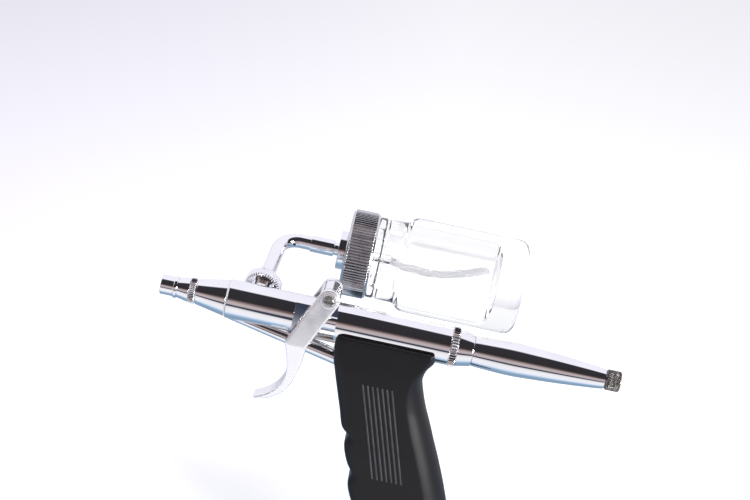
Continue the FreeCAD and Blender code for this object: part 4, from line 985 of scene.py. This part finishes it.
def grip():
    """Moulded handle: saddle round the barrel, finger lobes in front, full back."""
    bm = bmesh.new()
    rings = [[bm.verts.new((x * MM, y * MM, z * MM)) for x, y in grip_ring(*row)] for z, *row in grip_rows()]
    ringed(bm, zip(rings, rings[1:]), len(rings[0]))
    bm.faces.new(rings[0])
    bm.faces.new(rings[-1])
    solid = built("grip_body", bm)
    square = [(-FOOT_CUT, -FOOT_CUT), (FOOT_CUT, -FOOT_CUT), (FOOT_CUT, FOOT_CUT), (-FOOT_CUT, FOOT_CUT)]
    foot = on_grip_axis(prism("foot", square, GRIP_LEN, GRIP_LEN + FOOT_CUT, "x"))
    saddle = turned("saddle", [(SADDLE_START, 0.0), (SADDLE_START, SADDLE_R), (SADDLE_END, SADDLE_R),
                               (SADDLE_END, 0.0)], 64)
    riser = on_grip_axis(turned("riser_hole", [(0, 0.0), (0, RISER_R), (SEAT_START, RISER_R),
                                               (SEAT_START, RISER_SEAT_R), (RISER_END, RISER_SEAT_R),
                                               (RISER_END, 0.0)], 40))
    valve = turned("valve_hole", [(VALVE_START, 0.0), (VALVE_START, VALVE_R), (VALVE_END, VALVE_R),
                                  (VALVE_END, 0.0)], 40)
    valve.data.transform(Matrix.Translation((0, 0, -VALVE_DROP * MM)))
    block = prism("block_hole", [(BLOCK_START, BLOCK_BOTTOM), (BLOCK_END, BLOCK_BOTTOM), (BLOCK_END, 0),
                                 (BLOCK_START, 0)], -VALVE_R, VALVE_R)
    carved(solid, "DIFFERENCE", foot, saddle, riser, valve, block)
    moulded(solid, 0.42, 4)
    return worn(solid, "grip_plastic", "gun", "grip")


def grip_ribs():
    """Seven thin ribs on each side, following the skin."""
    rows = grip_rows()

    def skin(z):
        for one, two in zip(rows, rows[1:]):
            if two[0] <= z <= one[0]:
                return one[3] + (two[3] - one[3]) * (one[0] - z) / (one[0] - two[0])
        return 0.0

    mesh = bpy.data.meshes.new("grip_ribs")
    points, lines = [], []
    for side in (-1, 1):
        for k in range(RIB_COUNT):
            for step in range(RIB_POINTS):
                z = RIB_TOP - RIB_LEN * math.cos(RIB_LEAN) * step / (RIB_POINTS - 1)
                x = SLOT_END + RIB_FRONT + RIB_PITCH * k - (z - RIB_TOP) * math.tan(RIB_LEAN)
                points.append(Vector((x, side * (skin(z) - RIB_SINK), z)) * MM)
                if step:
                    lines.append((len(points) - 2, len(points) - 1))
    mesh.from_pydata(points, lines, [])
    piece = new_piece("grip_ribs", mesh)
    grown(piece, LAY_BEADS, Radius=RIB_R * MM, Step=RIB_STEP * MM, Material=FINISHES["rib_plastic"])
    smooth(piece.data, 60)
    worn(piece, "rib_plastic", "gun")
    return piece


# Foot of the grip
def hose_fitting():
    """Collar, hexagon and threaded end for the air hose."""
    top, collar, hexagon = GRIP_LEN - 8.0, GRIP_LEN + 1.0, GRIP_LEN + 2.6
    thread, end = GRIP_LEN + 7.6, GRIP_LEN + 16.1
    bore, riser_hole, spigot_r, collar_r, neck_r, corner_r, edge_r = 2.5, 3.05, 4.6, 7.4, 4.0, 7.5, 6.6
    seat, neck_end = top + 6.0, hexagon + 0.4
    outline = eased([(top, riser_hole), (top, spigot_r), (collar, spigot_r), (collar, collar_r),
                     (hexagon, collar_r), (hexagon, neck_r), (neck_end, neck_r), (neck_end, bore),
                     (seat, bore), (seat, riser_hole)], 0.3)
    worn(on_grip_axis(turned("hose_collar", outline)), "chrome", "gun", "hose_fitting")
    nut = turned("hose_hexagon", [(hexagon, bore), (hexagon, edge_r), (hexagon + 0.5, corner_r),
                                  (thread - 0.5, corner_r), (thread, edge_r), (thread, bore)], 120, 6, 13.0)
    worn(on_grip_axis(nut), "chrome", "gun")
    rows, ridge_r, root_r = 76, 4.86, 4.3
    ridge = [(thread + 0.8 + (end - thread - 1.6) * k / rows, ridge_r, 1.0) for k in range(rows + 1)]
    stem = turned("hose_stem", [(thread - 0.1, bore), (thread - 0.1, root_r), (thread + 0.5, root_r), *ridge,
                                (end - 0.4, 4.5), (end, 4.2), (end, bore)], 64)
    cut_teeth(stem, "chrome", 1, HOSE_THREAD_DEPTH, 2 * math.pi / HOSE_PITCH, 0.0, 45)
    worn(on_grip_axis(stem), "chrome", "gun")


def grip_washer():
    """Rubber washer between the grip and the fitting."""
    hole, r, end = 4.65, 7.6, GRIP_LEN + 1.0
    outline = eased([(GRIP_LEN, hole), (GRIP_LEN, r), (end, r), (end, hole)])
    return worn(on_grip_axis(turned("foot_washer", outline)), "rubber", "gun", "grip_washer")


def dress_nodes():
    """Better finishes for the CAD nodes, each by the name of the slot that it came with."""
    for thing in frame["nodes"].values():
        for place in thing.material_slots:
            place.material = FINISHES[place.material.name.split(".")[0]]


# Stage, light and camera
def ramp_of(tree, value, stops):
    """Colour ramp over a real range, from (value, colour) stops in rising order."""
    low, high = stops[0][0], stops[-1][0]
    scale = tree.nodes.new("ShaderNodeMapRange")
    scale.inputs["From Min"].default_value = low
    scale.inputs["From Max"].default_value = high
    ramp = tree.nodes.new("ShaderNodeValToRGB")
    line = ramp.color_ramp.elements
    while len(line) < len(stops):
        line.new(0.5)
    for stop, (at, colour) in zip(line, stops):
        stop.position = (at - low) / (high - low)
    for stop, (at, colour) in zip(line, stops):
        stop.color = (*colour, 1)
    tree.links.new(value, scale.inputs["Value"])
    tree.links.new(scale.outputs["Result"], ramp.inputs["Fac"])
    return ramp.outputs["Color"]


def mirrored_only(tree):
    """1 for a ray that a shiny surface threw back, 0 for one from the camera or through glass."""
    path = tree.nodes.new("ShaderNodeLightPath")
    outside_glass = maths(tree, "SUBTRACT", 1, path.outputs["Is Transmission Ray"])
    return maths(tree, "MULTIPLY", path.outputs["Is Glossy Ray"], outside_glass)


def mixed(tree, share, first, second):
    """Blend of two shaders."""
    node = tree.nodes.new("ShaderNodeMixShader")
    for socket, value in zip(node.inputs, (share, first, second)):
        tree.links.new(value, socket)
    return node.outputs[0]


ROOM_STOPS = (
    (0, (0.56, 0.46, 0.46)), (8, (0.42, 0.34, 0.34)), (17, (0.13, 0.09, 0.088)), (24, (0.03, 0.027, 0.03)),
    (81, (0.032, 0.03, 0.036)), (88, (0.96, 0.95, 1.04)), (180, (0.92, 0.91, 1.0)),
)
# Painted reflections: colour bands by place across the sheet, a dark line and blue bands among them, seen by
# mirrored rays only
PAINTED_REFLECTION_BANDS = (
    (-2.0, (0.54, 0.46, 0.47)), (-0.62, (0.50, 0.45, 0.47)), (-0.50, (0.32, 0.29, 0.31)),
    (-0.45, (0.05, 0.055, 0.08)), (-0.28, (0.04, 0.05, 0.08)), (-0.235, (0.78, 0.76, 0.79)),
    (-0.12, (0.96, 0.94, 0.97)), (-0.055, (0.88, 0.92, 1.0)), (-0.025, (0.40, 0.56, 0.76)),
    (0.0, (0.24, 0.38, 0.54)), (0.045, (0.26, 0.36, 0.48)), (0.30, (0.62, 0.62, 0.70)),
    (1.0, (0.88, 0.88, 0.96)),
)
# Painted shade: the sheet's colour darkens to lavender grey towards -X and pales to white towards +X
FLOOR_SHADE_TONES = ((-0.30, (0.74, 0.72, 0.80)), (-0.05, (0.86, 0.85, 0.91)), (0.12, (0.95, 0.95, 0.97)))
FLOOR_HALF_W, FLOOR_GAP = 6.0, 0.0005
PLAIN_LIGHT = 0.62


def room():
    """What the chrome mirrors above the floor, by height over the horizon, and plain light for the rest."""
    world = bpy.data.worlds.new("room")
    bpy.context.scene.world = world
    world.use_nodes = True
    tree = world.node_tree
    plain = tree.nodes["Background"]
    plain.inputs["Color"].default_value = (PLAIN_LIGHT, PLAIN_LIGHT, PLAIN_LIGHT * 1.04, 1)
    place = tree.nodes.new("ShaderNodeTexCoord")
    parts = tree.nodes.new("ShaderNodeSeparateXYZ")
    tree.links.new(place.outputs["Generated"], parts.inputs[0])
    nearer = maths(tree, "MULTIPLY", parts.outputs["Y"], -1)
    height = maths(tree, "DEGREES", maths(tree, "ARCTAN2", parts.outputs["Z"], nearer))
    mirrored = tree.nodes.new("ShaderNodeBackground")
    tree.links.new(ramp_of(tree, height, ROOM_STOPS), mirrored.inputs["Color"])
    white = tree.nodes.new("ShaderNodeBackground")
    white.inputs["Color"].default_value = (0.98, 0.98, 1.0, 1)
    path = tree.nodes.new("ShaderNodeLightPath")
    glassy = mixed(tree, path.outputs["Is Transmission Ray"], plain.outputs[0], white.outputs[0])
    whole = mixed(tree, mirrored_only(tree), glassy, mirrored.outputs[0])
    tree.links.new(whole, tree.nodes["World Output"].inputs["Surface"])


def table_top():
    """Pale sheet under the gun: keeps the shadow, and glows in painted bands that only mirrored rays see,
    painted reflections that the chrome shows as stripes.
    """
    stuff, tree, shader = finish("pale_sheet", (0.86, 0.855, 0.875), 0, 0.9)
    place = tree.nodes.new("ShaderNodeTexCoord")
    parts = tree.nodes.new("ShaderNodeSeparateXYZ")
    tree.links.new(place.outputs["Object"], parts.inputs[0])
    # Painted reflection: the sheet glows in these bands for mirrored rays only
    glow = tree.nodes.new("ShaderNodeEmission")
    tree.links.new(ramp_of(tree, parts.outputs["Y"], PAINTED_REFLECTION_BANDS), glow.inputs["Color"])
    # Painted shade on the sheet, darker towards -X
    tree.links.new(ramp_of(tree, parts.outputs["X"], FLOOR_SHADE_TONES), shader.inputs["Base Color"])
    shader.inputs["Specular IOR Level"].default_value = 0
    shader.inputs["Emission Color"].default_value = (0.97, 0.96, 1.0, 1)
    shader.inputs["Emission Strength"].default_value = 0.23
    whole = mixed(tree, mirrored_only(tree), shader.outputs[0], glow.outputs[0])
    tree.links.new(whole, tree.nodes["Material Output"].inputs["Surface"])
    mesh = bpy.data.meshes.new("table_top")
    half, low = FLOOR_HALF_W, CAD_BOX[0][2] - FLOOR_GAP
    corners = [(-half, -half, low), (half, -half, low), (half, half, low), (-half, half, low)]
    mesh.from_pydata(corners, [], [(0, 1, 2, 3)])
    sheet = new_piece("table_top", mesh)
    sheet.data.materials.append(stuff)


def soft_lamp(name, place, target, size, power, mirrored=False):
    """Square soft box; only the one beside the grip shows as a sheen."""
    lamp = bpy.data.lights.new(name, "AREA")
    lamp.size = size
    lamp.energy = power
    thing = new_piece(name, lamp)
    thing.location = place
    thing.rotation_euler = (Vector(target) - Vector(place)).to_track_quat("-Z", "Y").to_euler()
    thing.visible_glossy = mirrored


def camera():
    """Camera at the photograph's place and tilt."""
    lens = bpy.data.cameras.new("photo_camera")
    lens.sensor_width = SENSOR_W
    lens.lens = FOCAL_PX * SENSOR_W / IMAGE_W
    lens.clip_start, lens.clip_end = 0.01, 50
    view = new_piece("photo_camera", lens)
    right = Vector(CAMERA_RIGHT).normalized()
    up = Vector(CAMERA_UP)
    up = (up - right * up.dot(right)).normalized()
    turn = Matrix((right, up, right.cross(up))).transposed()
    view.matrix_world = Matrix.Translation(Vector(CAMERA_PLACE) * MM) @ turn.to_4x4()
    bpy.context.scene.camera = view


def build_gun():
    dress_nodes()
    needle_cap()
    air_cap()
    head_ring()
    fluid_head()
    rear_ring()
    handle_collar()
    tail_handle()
    limit_knob()
    spring("needle_spring", 3.45, 0.4, 12, 0.0)
    spring("valve_spring", 1.65, 0.25, 6, -VALVE_DROP)
    union_nut()
    feed_elbow()
    feed_ferrule()
    lid_boss()
    jar_lid()
    jar()
    siphon_tube()
    trigger()
    pivot_boss()
    grip()
    grip_ribs()
    hose_fitting()
    grip_washer()
    for node, body, slot in (("main_body", "gun", "chrome"), ("air_tube", "gun", "chrome"),
                             ("needle_tube", "needle", "chrome"), ("valve_rod", "valve", "steel"),
                             ("pivot_screw", "gun", "steel"), ("pivot_nut", "gun", "steel"),
                             ("siphon_stub", "feed", "chrome")):
        polished_copy(node, body, slot)


build_gun()
room()
table_top()
soft_lamp("lamp_above", (0.35, -0.30, 1.15), (0.10, 0.05, 0), 0.5, 7.0)
soft_lamp("lamp_beside", (0.62, -0.38, 0.10), (0.11, 0, -0.03), 0.22, 4.5, True)
camera()
bpy.context.scene.view_settings.view_transform = "Standard"
